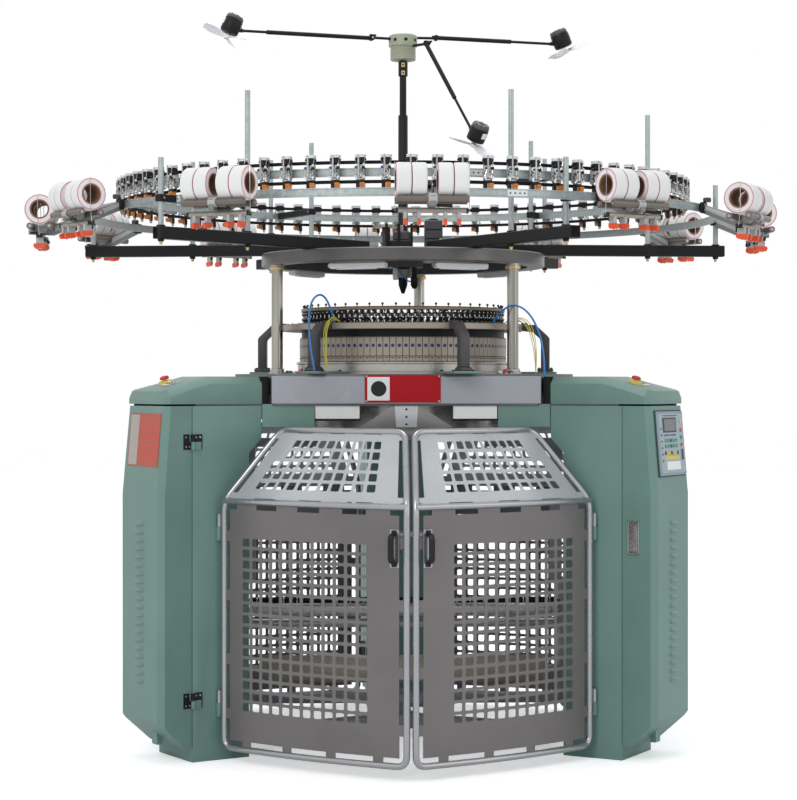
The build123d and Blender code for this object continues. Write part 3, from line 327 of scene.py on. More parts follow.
def tube(points, radius, name, count=10, closed=False):
    """Round bar along a path."""
    path = [Vector(p) for p in points]
    part = Part()
    total = len(path)
    side = None
    rings = []
    for i, p in enumerate(path):
        before = path[i - 1] if (i or closed) else p
        after = path[(i + 1) % total] if (i < total - 1 or closed) else p
        line = (after - before).normalized()
        if side is None:
            side = line.orthogonal().normalized()
        side = (side - line * side.dot(line)).normalized()
        other = line.cross(side)
        ids = []
        for k in range(count):
            t = 2 * math.pi * k / count
            ids.append(len(part.points))
            part.points.append(p + (side * math.cos(t) + other * math.sin(t)) * radius)
        rings.append(ids)
    pairs = list(zip(rings, rings[1:])) + ([(rings[-1], rings[0])] if closed else [])
    for low, high in pairs:
        for k in range(count):
            j = (k + 1) % count
            part.faces.append((low[k], low[j], high[j], high[k]))
    if not closed:
        part.faces.append(tuple(reversed(rings[0])))
        part.faces.append(tuple(rings[-1]))
    part.names = [name] * len(part.faces)
    return part


def bent(points, radius, steps=6):
    """Path through the points with each corner rounded."""
    path = [Vector(p) for p in points]
    out = [path[0]]
    for a, b, c in zip(path, path[1:], path[2:]):
        u, w = (a - b).normalized(), (c - b).normalized()
        half = u.angle(w) / 2
        cut = min(radius / math.tan(half), 0.48 * min((a - b).length, (c - b).length))
        reach = cut * math.tan(half)
        middle = b + (u + w).normalized() * (reach / math.sin(half))
        first, last = b + u * cut - middle, b + w * cut - middle
        for k in range(steps + 1):
            out.append(middle + first.slerp(last, k / steps))
    out.append(path[-1])
    return out


def at(angle=0.0, x=0.0, y=0.0, z=0.0):
    """Place of a shape drawn outwards along +x, at its angle round the machine."""
    return turn(angle - 90, "Z") @ move((x, y, z))


def around(unit, count, first=0.0):
    """The unit repeated evenly round the machine's axis."""
    whole = Part()
    for i in range(count):
        whole.add(unit, at(first + 360 / count * i))
    return whole


def copied(node, name, edge=2.0, segments=2):
    """The CAD node's own shape with its edges broken."""
    bm = bmesh.new()
    bm.from_mesh(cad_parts[node].data)
    bmesh.ops.scale(bm, vec=(1000, 1000, 1000), verts=bm.verts)
    bmesh.ops.remove_doubles(bm, verts=bm.verts, dist=0.02)
    bmesh.ops.dissolve_limit(bm, angle_limit=math.radians(0.6), verts=bm.verts, edges=bm.edges)
    if edge:
        sharp = [e for e in bm.edges if len(e.link_faces) == 2 and e.calc_face_angle() > math.radians(28)]
        bmesh.ops.bevel(bm, geom=sharp, offset=edge, segments=segments, profile=0.6, affect="EDGES",
                        clamp_overlap=True)
    return drawn(bm, name)


def piece(name, part, body, nodes=()):
    """Make the object of one piece, in metres, riding on its CAD body."""
    name = name.replace(" ", "_")
    mesh = bpy.data.meshes.new(name)
    mesh.from_pydata([p * 0.001 for p in part.points], [], part.faces)
    order = sorted(set(part.names))
    for key in order:
        mesh.materials.append(LOOKS[key])
    index = {key: i for i, key in enumerate(order)}
    mesh.polygons.foreach_set("material_index", [index[n] for n in part.names])
    mesh.polygons.foreach_set("use_smooth", [True] * len(part.faces))
    mesh.set_sharp_from_angle(angle=math.radians(34))
    made = bpy.data.objects.new(name, mesh)
    bpy.context.collection.objects.link(made)
    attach(made, body)
    if nodes:
        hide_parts(*nodes)
    return made


def screw(radius=4, height=3, name="steel"):
    """Socket-head screw standing on z = 0."""
    return lathe([(0, 0), (radius, 0), (radius, height * 0.8), (radius * 0.85, height),
                  (radius * 0.5, height), (radius * 0.45, height * 0.4), (0, height * 0.4)], name, 12)


# the door's side face runs 142 mm outwards and 35 mm towards the middle
SIDE_RUN, SIDE_DROP = 142, 35
LEGS = {"left": -60, "right": 60, "rear": 180}


# legs and cabinets

def leg_details():
    """Hinge leaves, painted shade strips at the door joints, seals and aprons of one leg, in the leg's own
    frame.
    """
    part = Part()
    for z in (260, 1340):
        part.add(hinge_leaf(-1), move((1130, 160, z)))
    # painted shade: a dark strip, slightly proud, stands for the shadow in the gap between leg and door; and
    # the seal under the cap
    for side in (-1, 1):
        part.add(block(1131.2, 1134.6, *mirrored(side, 159, 160.5), 62, 1489, "teal dark", 0.2))
        part.add(block(806, 1250, *mirrored(side, 136, 146), 1489, 1499, "rubber", 1))
    part.add(block(1240, 1256, -150, 150, 1490.3, 1499, "rubber", 1))
    # teal aprons beside the white panels, each in the frame of its beam
    for side in (-1, 1):
        part.add(block(520, 526, *mirrored(-side, 392, 616), 1398, 1497, "teal", 1.5), turn(60 * side, "Z"))
    return part


def hinge_leaf(side):
    """Black hinge leaf with four screws, lying along x on one side of its barrel."""
    leaf = block(*mirrored(side, 0, 44), -1, 3.5, -32, 32, "black", 1.2)
    for sx in (13, 33):
        for sz in (-20, 20):
            leaf.add(screw(4, 2.5), move((sx * side, 3.2, sz)) @ turn(-90, "X"))
    return leaf


def door_details():
    part = Part()
    # pressed louvres down the face
    for index in range(20):
        z = 330 + index * 34.7
        hood = []
        for side in (-1, 1):
            hood += [(1299, side * 36, z + 1), (1299, side * 36, z + 14), (1299, side * 30, z + 21),
                     (1306, side * 33, z + 1), (1308.5, side * 29, z + 1), (1307.5, side * 30, z + 8),
                     (1304, side * 30, z + 15)]
        part.add(hull(hood, "teal"))
        # dark strip under each louvre: painted shade in its opening
        part.add(block(1300.2, 1307, -31, 31, z + 0.2, z + 1, "teal dark", 0.1))
    # hinge leaves, black, with four screws each
    slope = math.atan2(SIDE_DROP, SIDE_RUN)
    for z in (260, 1340):
        leaf = hinge_leaf(1)
        part.add(leaf, move((DOOR_START + 3, 161, z)) @ Matrix.Rotation(slope, 4, "Z"))
        part.add(disc(10.5, z + 0.5, z + 32, "black", 20), move((DOOR_START, 172, 0)))
    # bright rim round the flush latch
    place = latch_place()
    for x0, x1, z0, z1 in ((30, 36, 868, 1010), (82, 88, 868, 1010), (30, 88, 868, 874),
                           (30, 88, 1004, 1010)):
        part.add(block(x0, x1, -0.5, 6, z0, z1, "chrome", 1.2), place)
    return part


def latch_place():
    """Frame on the door's side face: x along the face, y out of it."""
    length = math.hypot(SIDE_RUN, SIDE_DROP)
    along_x, along_y = SIDE_RUN / length, -SIDE_DROP / length
    return Matrix(((along_x, along_y, 0, DOOR_START), (along_y, -along_x, 0, -160), (0, 0, 1, 0),
                   (0, 0, 0, 1)))


def latch_paddle():
    part = block(38.2, 81, 0.5, 3, 877, 1001, "steel", 0.8)
    part.add(block(41, 77, 3, 4.2, 884, 994, "chrome", 0.6))
    part.add(hull([(44, 4, 930), (74, 4, 930), (44, 4, 990), (74, 4, 990), (48, 4.9, 936), (70, 4.9, 936),
                   (48, 4.9, 984), (70, 4.9, 984)], "steel"))
    return Part().add(part, latch_place())


def stop_place():
    """Frame on the cap's slope, which falls 62 mm in 231 mm from its upper edge."""
    run, drop, start, top, x = 231, 62, 1040, 1614, 1150
    return move((x, -60, top - drop * (x - start) / run)) @ Matrix.Rotation(math.atan2(drop, run), 4, "Y")


def cap_details():
    """Emergency stop's collar, two push buttons and a small bare plate on the cap's slope."""
    part = lathe([(8.6, -1), (30, 0), (29, 9), (24, 13), (8.6, 13)], "yellow", 32)
    part.add(block(-36, 36, -38, 98, 0, 1.6, "plate grey", 0.6))
    for y, name in ((45, "white plastic"), (75, "key green")):
        part.add(lathe([(12, 0), (12, 5), (9.5, 7), (9, 6), (0, 6)], "steel", 24), move((0, y, 1)))
        part.add(disc(8.2, 6, 9.6, name, 20), move((0, y, 0)))
    part.add(block(22, 34, 20, 92, 1.5, 2.6, "white plastic", 0.4))
    return Part().add(part, stop_place())


def stop_head():
    part = lathe([(0, 12.4), (8, 12.4), (8, 18), (19, 18.5), (20, 22), (19.2, 27), (16, 31), (9, 33),
                  (0, 33.5)], "stop red", 32, names=["steel"] * 2 + ["stop red"] * 6)
    return Part().add(part, stop_place())


# the door's face leans back above the knee, 32 mm in 373 mm, and the plates lean with it
UPPER_FACE = move((DOOR_FACE, 0, KNEE)) @ Matrix.Rotation(-math.atan2(32, 373), 4, "Y")

leg_extra, door_extra, paddle, cap_extra, mushroom = (
    leg_details(), door_details(), latch_paddle(), cap_details(), stop_head())
caps = copied("leg_caps", "teal", 3)
for side, angle in LEGS.items():
    leg = copied(f"leg_{side}", "teal", 3).add(leg_extra, at(angle))
    piece(f"leg {side} looks", leg, "frame", [f"leg_{side}"])
    door = copied(f"cabinet_door_{side}", "teal", 2.5).add(door_extra, at(angle))
    if side == "left":
        plate = block(1300.2, 1302.4, -140, 158, 1237, 1460, "orange plate", 0.5)
        plate.add(block(1302.4, 1303, -132, -48, 1243, 1454, "plate grey", 0.2))
        for row in range(9):
            plate.add(block(1302.4, 1302.9, -38, 150, 1256 + row * 21, 1262 + row * 21, "stop red", 0.1))
        door.add(plate, at(angle) @ (UPPER_FACE @ move((-DOOR_FACE, 0, -KNEE))))
    piece(f"door {side} looks", door, f"door_{side}", [f"cabinet_door_{side}"])
    piece(f"latch {side} looks", Part().add(paddle, at(angle)), f"latch_{side}", [f"door_latch_{side}"])
    piece(f"stop {side} looks", Part().add(mushroom, at(angle)), f"stop_{side}", [f"e_stop_{side}"])
    caps.add(cap_extra, at(angle))
piece("cap looks", caps, "frame", ["leg_caps"])
piece("gasket looks", copied("cap_gaskets", "rubber", 5, 3), "frame", ["cap_gaskets"])


# control panel

def control_panel():
    """Bare keypad and screen in a frame, drawn flat: x across, y up, z out."""
    part = block(-115, 115, -130, 130, 0.2, 12, "panel", 4)
    # dark rim round the panel: painted shade of its recess
    part.add(block(-119, 119, -135, 135, 0.1, 6, "teal dark", 1))
    part.add(block(-104, 104, -120, 120, 11.5, 12.8, "panel face", 0.5))
    part.add(block(-72, 44, 44, 104, 12.5, 15, "black plastic", 1.5))
    part.add(block(-64, 36, 50, 98, 14.6, 15.4, "screen", 0.3))
    part.add(block(-70, 60, 110, 114, 12.6, 13.2, "key dark", 0.2))
    for row in range(6):
        part.add(disc(5, 12.6, 13.8, "key dark", 14), move((-90, 60 - row * 26, 0)))
    for column in range(2):
        part.add(block(-70 + column * 58, -20 + column * 58, 30, 36, 12.6, 13.6, "key dark", 0.3))
    for column, name in enumerate(("key green", "key green", "key dark", "key green", "key green")):
        for row in range(2):
            x = -66 + column * 24
            part.add(block(x, x + 16, 4 - row * 22, 18 - row * 22, 12.6, 14.6, name, 1))
    for column in range(7):
        part.add(block(-70 + column * 18, -58 + column * 18, -46, -32, 12.6, 14.6,
                       "key yellow" if column % 3 else "black plastic", 1))
    part.add(block(-70, 54, -66, -52, 12.6, 13.6, "key yellow", 0.4))
    part.add(block(-58, 62, -108, -74, 12.6, 13.4, "white plastic", 0.3))
    for y, name in ((86, "key yellow"), (52, "stop red"), (22, "key green"), (-8, "stop red")):
        part.add(disc(8, 12.6, 16, name, 18), move((84, y, 0)))
    part.add(block(78, 92, -70, -26, 12.6, 16, "key dark", 2))
    for x in (-104, 104):
        for y in (-119, 119):
            part.add(screw(4, 2.4), move((x * 1.02, y * 1.02, 12)))
    return part


panel_face = UPPER_FACE @ Matrix(((0, 0, 1, 0), (1, 0, 0, 0), (0, 1, 0, 215), (0, 0, 0, 1)))
panel_face = panel_face @ Matrix.Diagonal((1.27, 1.04, 1, 1))
piece("panel looks", Part().add(control_panel(), at(60) @ panel_face), "door_right", ["control_panel"])


# bed and beams

def name_plate():
    """Bare name plate: a red field, a white square with a plain dark disc, four screws."""
    part = block(BEAM_FACE, 543.4, -162, 162, 1503, 1621, "red", 1)
    part.add(block(543.2, 544, -151, -56, 1512, 1612, "white panel", 0.3))
    dot = disc(33, 0, 0.8, "black plastic", 40, 0.2)
    part.add(dot, move((544, -103, 1562)) @ turn(90, "Y"))
    for y in (-155, 155):
        for z in (1509, 1615):
            part.add(screw(4, 2.2), move((543, y, z)) @ turn(90, "Y"))
    return part


covers = around(block(534, BEAM_FACE, -575, 575, BEAM_LOW, 1615, "beam", 2.5), 3)
covers.add(name_plate(), at(0, 0, -16))
piece("beam looks", covers, "frame", ["beam_covers"])


def bed_buttons():
    """Push buttons on the bed beside a column."""
    part = Part()
    for y, name, high in ((-34, "white plastic", 8), (0, "stop red", 16), (34, "key dark", 8)):
        button = disc(13, BED_TOP, 1631, "steel", 24)
        button.add(lathe([(0, 1630), (10, 1630), (11, 1630 + high * 0.6), (8, 1630 + high),
                          (0, 1630 + high + 1)], name, 24))
        part.add(button, move((500, y, 0)))
    return part


bed = copied("bed_plate", "bed steel", 1.5)
for angle in (-47, 44, 160):
    bed.add(bed_buttons(), at(angle, 118 if angle < 100 else 60, 0, 0))
piece("bed looks", bed, "frame", ["bed_plate"])

shields = Part()
for side in (-1, 1):
    shields.add(block(516, 526, *mirrored(side, 200, 388), 1428, LEG_TOP, "white panel", 2))
    shields.add(block(514, 528, *mirrored(side, 196, 392), 1425, 1436, "black plastic", 5))
spread = upright(prism([(56, LEG_TOP), (200, 1396), (52, 1396), (-52, 1396), (-200, 1396), (-56, LEG_TOP)],
                       0, 9, "spreader", 1))
spread.add(upright(prism([(-50, LEG_TOP), (50, LEG_TOP), (44, 1398), (-44, 1398)], 8, 9.9, "gate pale",
                         0.4)))
for z in (1410, 1442, 1474):
    spread.add(rod((0, -9.5, z), (0, -10.3, z), 5, "black plastic", 16, 0.2))
shields.add(spread, move((516, 0, 0)) @ turn(90, "Z"))
piece("shield looks", around(shields, 3), "frame", ["beam_shields"])
piece("spider looks", copied("floor_spider", "frame grey", 3), "frame", ["floor_spider"])


# knitting head

base = lathe([(453.5, BED_TOP), (480, BED_TOP), (480, 1634), (474, 1637), (474, 1668), (480, 1671),
              (480, 1677), (477, BASE_TOP), (435, BASE_TOP), (435, 1674), (453.5, 1674)], "machined", 128,
              closed=True)
ear = block(470, 690, -65, 65, BED_TOP + GAP, 1637, "teal", 1.5)
for y in (-46, 46):
    for x in (640, 520):
        ear.add(screw(7, 6, "black"), move((x, y, 1637)))
base.add(around(ear, 6, 22))
piece("base looks", base, "frame", ["base_ring"])

half = CAM_FACE * math.tan(math.pi / 102)
cam = block(440, 464.9, -half + 1.1, half - 1.1, 1704, 1785, "cam", 1.4)
cam.add(block(440, 464.4, -half + 1.1, half - 1.1, 1680.3, 1701.5, "cam", 1))
cam.add(block(463.8, CAM_FACE, -5, 5, 1693, 1697, "black", 0.3))
cam.add(block(436, 461, -half, half, 1681, 1788, "cam edge", 0))
dot = disc(8, 0, 0.9, "navy", 16, 0.3)
cam.add(dot, move((464.2, 0, 1749)) @ turn(90, "Y"))
small = disc(2.0, 0, 0.7, "cam edge", 8, 0.2)
for y in (-9, 9):
    cam.add(small, move((464.4, y, 1697)) @ turn(90, "Y"))
cams = around(cam, 102)
cams.add(ring(462, 434.8, 1784, CAM_TOP, "cam edge", 102))
piece("cam looks", cams, "frame", ["cam_boxes"])

sinker = lathe([(434.6, CAM_TOP), (456, CAM_TOP), (456, SINKER_LOW), (536, SINKER_LOW), (SINKER_OUTER, 1821),
                (SINKER_OUTER, 1844), (538, SINKER_TOP), (434.6, SINKER_TOP)], "cam", 128, closed=True,
                names=["black"] * 3 + ["cam"] * 5)
bolt = screw(5, 3, "black")
for i in range(48):
    sinker.add(bolt, at(360 / 48 * i, 533, 0, 1846.5))
piece("sinker looks", sinker, "frame", ["sinker_ring"])


def guide_unit():
    """Yarn guide under the guide ring: dark clips in two rows, with bright heads."""
    part = block(426, 446, -9, 9, 1847.5, 1862, "black", 2)
    part.add(block(430, 450, -6, 6, 1862, GUIDE_LOW, "black plastic", 2))
    for z, side in ((1868, -1), (1891, 1)):
        part.add(block(444, 455, side * 3 - 7, side * 3 + 7, z - 4.5, z + 4.5, "black", 1.5))
        part.add(rod((450, side * -7, z + 5), (457, side * -7, z + 4), 3.4, "chrome", 8))
    part.add(block(446, 451, -3, 3, 1873, 1886, "white plastic", 1))
    part.add(rod((450, 8, 1855), (457, 8, 1853), 4, "steel", 8))
    return part


guides = lathe([(437, GUIDE_LOW), (455, GUIDE_LOW), (459, 1906), (459, 1914), (455, GUIDE_TOP),
                (437, GUIDE_TOP), (434, 1916), (434, 1906)], "guide brown", 128, closed=True)
guides.add(around(guide_unit(), 96, 1.3))
knob = lathe([(0, 1918), (2.2, 1918), (2.2, 1925), (5, 1926), (5.4, 1931), (3.5, 1934), (0, 1935)],
             "black plastic", 10)
for i in range(48):
    guides.add(knob, at(7.5 * i + 2, 447))
piece("guide looks", guides.add(around(block(440, 452, -6, 6, SINKER_TOP, GUIDE_LOW, "black", 1.5), 6, 22)),
      "frame", ["guide_ring"])

bracket_outline = [(622, 1649), (660, 1649), (660, 1786), (652, 1797), (606, 1840), (600, SINKER_TOP),
                   (541.5, SINKER_TOP), (541.5, 1819), (584, 1815), (620, 1782), (622, 1772)]
bracket = upright(prism(bracket_outline, -22, 22, "dark cast", 4))
bracket.add(block(606, 676, -25, 25, 1637.2, 1652, "dark cast", 3))
bracket.add(block(534, 562, -17, 17, 1846, 1856, "dark cast", 2))
for x in (614, 668):
    for y in (-16, 16):
        bracket.add(screw(4.5, 5, "black"), move((x, y, 1651)))
piece("bracket looks", around(bracket, 6, 22), "frame", ["ring_brackets"])

# the column look's vertical dark streaks are painted reflections
column = lathe([(0, BED_TOP), (38, BED_TOP), (38, 1634), (31, 1636), (31, 1648), (25, 1650), (24.8, 2082),
                (33, 2083), (33, 2096), (29, 2098), (29, DISC_LOW), (0, DISC_LOW)], "column", 40,
                names=["steel"] * 4 + ["column"] * 2 + ["brass"] * 3 + ["steel"] * 2)
columns = Part()
for i in range(3):
    columns.add(column, at(-69 + 120 * i, 600))
piece("column looks", columns, "frame", ["columns"])

disc_part = lathe([(0, DISC_LOW), (90, DISC_LOW), (90, 2151), (560, 2151), (560, 2108), (562, DISC_LOW),
                   (633, DISC_LOW), (636, 2110), (636, 2159), (632, DISC_TOP), (0, DISC_TOP)], "disc", 128,
                   names=["dark cast"] * 2 + ["disc"] + ["dark cast"] * 3 + ["disc"] * 4)
lamp = block(-130, 130, -22, 22, 2079, DISC_LOW, "white plastic", 6)
lamp.add(block(-100, 84, -15, 15, 2075.5, 2080, "window", 2))
lamp.add(block(-136, -126, -18, 18, 2084, 2102, "steel", 2))
for angle, radius in ((-24, 505), (28, 505), (120, 505), (-120, 505)):
    disc_part.add(lamp, at(angle, radius) @ turn(90, "Z"))
for i in range(12):
    disc_part.add(screw(7, 5, "black"), at(30 * i + 8, 598, 0, 2162.5))
piece("disc looks", disc_part, "frame", ["top_disc"])


# drive unit over the disc and spindle under it

PULLEY = (-77, -60)


def drive_unit():
    part = Part()
    for x in (-77, -22, 34):
        part.add(block(x - 6, x + 6, -150, -138, DISC_TOP + GAP, 2296, "black", 1.5))
    part.add(block(-60, 40, -148, -72, DISC_TOP + GAP, 2222, "black plastic", 4))
    part.add(block(-48, 28, -140, -80, 2222, 2262, "dark cast", 5))
    part.add(rod((-10, -110, 2262), (-10, -110, 2290), 9, "steel", 20))
    part.add(block(95, 175, -90, 0, DISC_TOP + GAP, 2316, "dark cast", 5))
    part.add(lathe([(0, 2316), (22, 2316), (22, 2322), (16, 2325), (0, 2325)], "black", 24),
             move((135, -45, 0)))
    for z in (2190, 2230, 2270):
        part.add(block(101, 169, -91.5, -89, z, z + 6, "black", 0.6))
    for low, high, radius, name, count in (
            (DISC_TOP, 2281.5, 18, "dark cast", 24), (2281, 2322, 7.5, "steel", 16)):
        part.add(rod((*PULLEY, low), (*PULLEY, high), radius, name, count))
    return part


def spindle():
    part = lathe([(0, 1990), (7, 1990), (20, 2028), (21, 2060), (40, 2062), (40, 2098), (34, 2104),
                  (0, DISC_LOW)], "steel", 32, names=["black"] * 3 + ["hub"] * 2 + ["steel"] * 2)
    part.add(block(-46, -20, -30, 6, 2052, DISC_LOW, "steel", 3))
    side = lathe([(0, 2010), (8, 2010), (17, 2026), (17, 2060), (12, 2064), (12, DISC_LOW), (0, DISC_LOW)],
                 "black", 24)
    part.add(side, move((50, -45, 0)))
    part.add(tube(bent([(50, -45, 2040), (20, -70, 2030), (-10, -72, 2062), (-30, -50, DISC_LOW)], 14), 3.2,
                  "hose blue", 8))
    return part


piece("drive looks", drive_unit().add(spindle()), "frame", ["drive_block"])
pulley = lathe([(8.8, 2282.4), (58, 2282.4), (61.5, 2283), (61.5, 2285), (56, 2286), (56, 2290.5),
                (61.5, 2291.5), (61.5, 2293.6), (58, 2294.2), (8.8, 2294.2)], "steel", 48, closed=True)
for i in range(6):
    t = math.pi / 3 * i
    pulley.add(disc(7, 2294, 2294.3, "black", 14, 0.1), move((36 * math.cos(t), 36 * math.sin(t), 0)))
piece("pulley looks", Part().add(pulley, move((*PULLEY, 0))), "quality_pulley", ["quality_pulley"])


# creel: arms, rods, rings

# angle, end of the arm, then place and top of its inner and of its outer rod
ARMS = [(-98.0, 1460, 965, 2594, 1428, 2490), (-42.6, 1500, 988, 2807, 1477, 2490),
        (28.4, 1370, 898, 2807, 1302, 2490), (93.4, 1470, 1118, 2807, 1432, 2490),
        (145.4, 1400, 1163, 2786, 1302, 2710), (-151.6, 1450, 890, 2754, 1330, 2710)]
arms, rods = Part(), Part()
for angle, end, inner_at, inner_top, outer_at, outer_top in ARMS:
    arm = block(250, end, -25, 25, DISC_TOP + GAP, ARM_TOP, "black", 3)
    arm.add(block(end - 2, end, -21, 21, 2167, 2209, "black plastic", 1))
    for x in (330, 430, 560):
        arm.add(screw(7, 6, "steel"), move((x, 0, ARM_TOP)))
    for x, ring_at, z, top in (
            (inner_at, FEEDER_RING, FEEDER_Z, inner_top), (outer_at, OUTER_RING, OUTER_Z, outer_top)):
        low, high = (x + 12, ring_at - 6) if x < ring_at else (ring_at + 6, x - 12)
        if high - low > 1:
            arm.add(block(low, high, -15, 15, z - 15, z + 15, "black", 2.5))
        arm.add(block(x - 17, x + 17, -17, 17, z - 15, z + 15, "black", 3))
        arm.add(rod((x, 16, z), (x, 22, z), 5, "steel", 10))
        arm.add(lathe([(0, 2140), (5, 2140), (7, 2146), (7, 2152), (13, 2154), (13, DISC_TOP),
                       (0, DISC_TOP)], "black", 14, names=["brass"] * 3 + ["black"] * 3), move((x, 0, 0)))
        wall = lathe([(0, ARM_TOP), (11.4, ARM_TOP), (11.4, top - 0.6), (10.8, top), (8.6, top),
                      (8.6, top - 60), (0, top - 60)], "zinc", 18)
        rods.add(wall, at(angle, x))
        rods.add(lathe([(0, ARM_TOP), (18, ARM_TOP), (18, 2219), (0, 2219)], "black", 18), at(angle, x))
    arms.add(arm, at(angle))
piece("arm looks", arms, "frame", ["support_arms"])
piece("rod looks", rods, "frame", ["ring_rods"])


def flat_ring(radius, middle, joints, first):
    """Flat bar ring with joint plates and a fold along each edge."""
    part = lathe([(radius - 3, middle - 16.8), (radius + 5.8, middle - 16.8), (radius + 5.8, middle - 13),
                  (radius + 3, middle - 11), (radius + 3, middle + 11), (radius + 5.8, middle + 13),
                  (radius + 5.8, middle + 16.8), (radius - 5.8, middle + 16.8), (radius - 5.8, middle + 12),
                  (radius - 4, middle + 11), (radius - 4, middle - 11), (radius - 5.8, middle - 12),
                  (radius - 5.8, middle - 16.8)], "zinc", 144, closed=True)
    for i in range(joints):
        plate = block(radius + 3, radius + 5.6, -42, 42, middle - 12, middle + 12, "window", 0.6)
        for y in (-30, -10, 10, 30):
            plate.add(rod((radius + 5, y, middle), (radius + 5.9, y, middle), 4, "dark cast", 10, 0.2))
        part.add(plate, at(first + 360 / joints * i))
    return part


piece("feeder ring looks", flat_ring(FEEDER_RING, FEEDER_Z, 6, 12), "frame", ["feeder_ring"])
piece("outer ring looks", flat_ring(OUTER_RING, OUTER_Z, 6, 17), "frame", ["outer_ring"])

belts = Part()
for z in (2382, 2459):
    belts.add(lathe([(1229, z - 6.8), (1232.2, z - 6.8), (1232.2, z + 6.8), (1229, z + 6.8)], "rubber", 156,
                    closed=True, first=-math.pi / 2))
piece("belt looks", belts, "frame", ["feed_belts"])


def feeder():
    """Positive yarn feeder: ribbed cap, wheel, stop arms, dial, guide strip, cage and lamp."""
    part = block(1233.3, 1250, -13, 13, 2394, 2450, "pale cast", 2.5)
    part.add(block(1248, 1272, -12, 12, 2428, 2450, "steel", 4))
    part.add(block(1246, 1268, -10, 16, 2396, 2412, "pale cast", 3))
    turned = disc(5, 2352, 2476, "steel", 10)
    cap = lathe([(0, 2474), (20, 2474), (22.5, 2475.5), (22.5, 2478.5), (20, 2479.5), (20, 2481.5),
                 (22.5, 2482.5), (22.5, 2486), (20, 2486.8), (0, 2487)], "white plastic", 20)
    turned.add(cap)
    wheel = lathe([(6, 2450), (19, 2450.5), (23, 2453), (20, 2457), (20, 2463), (23.5, 2467), (23.5, 2471),
                   (14, 2473.8), (0, 2474)], "black plastic", 20)
    turned.add(wheel)
    cage = lathe([(5, 2386), (17, 2387), (20, 2391), (14, 2399), (14, 2409), (20, 2417), (5, 2421)],
                 "chrome", 12)
    part.add(turned.add(cage), move((1260, 0, 0)))
    part.add(block(1281, 1283, -9, -2, 2398, 2486.5, "steel", 0.6))
    part.add(rod((1274, -14, 2434), (1281, -14, 2434), 8.5, "chrome", 14))
    part.add(rod((1280.5, -14, 2434), (1283, -14, 2434), 6, "blue knob", 12))
    part.add(rod((1272, 14, 2434), (1281, 14, 2434), 6.5, "black", 12))
    for start, end, size, name in (
            ((1279, -5, 2442), (1279, -19, 2398), 2.4, "chrome"),
            ((1280, -5, 2440), (1280, 16, 2398), 2.4, "steel"),
            ((1277, 18, 2444), (1277, 9, 2396), 2.0, "chrome"),
            ((1281, -18, 2411), (1281, 16, 2411), 2.0, "steel")):
        part.add(rod(start, end, size, name, 6, 0.3))
    for y, z in ((-19, 2398), (16, 2398), (16, 2446)):
        part.add(rod((1276, y, z), (1283, y, z), 4.6, "white plastic", 10, 1))
    part.add(tube(bent([(1274, 14, 2448), (1280, 20, 2470), (1272, 23, 2485), (1258, 24, 2485)], 5, 3), 1.5,
                  "chrome", 6))
    part.add(block(1248, 1272, -14, 16, 2376, 2388, "black plastic", 3))
    lens = [(1252, 2376), (1280, 2376), (1281, 2368), (1276, 2357), (1256, 2355)]
    part.add(hull([(a, b, c) for b in (1, 19) for a, c in lens], "amber"))
    part.add(block(1250, 1266, -18, -3, 2350, 2378, "black plastic", 3))
    part.add(block(1252, 1264, -15, -6, 2338, 2351, "steel", 2))
    return part


piece("feeder looks", around(feeder(), 78), "frame", ["yarn_feeders"])


# elastane stands and rolls

STAND_X, ROLL_Z, REACH = 1612, 2352, 84.8
DRIVE_Z = ROLL_Z - REACH * math.cos(math.radians(30))
SPREAD = REACH * 0.5


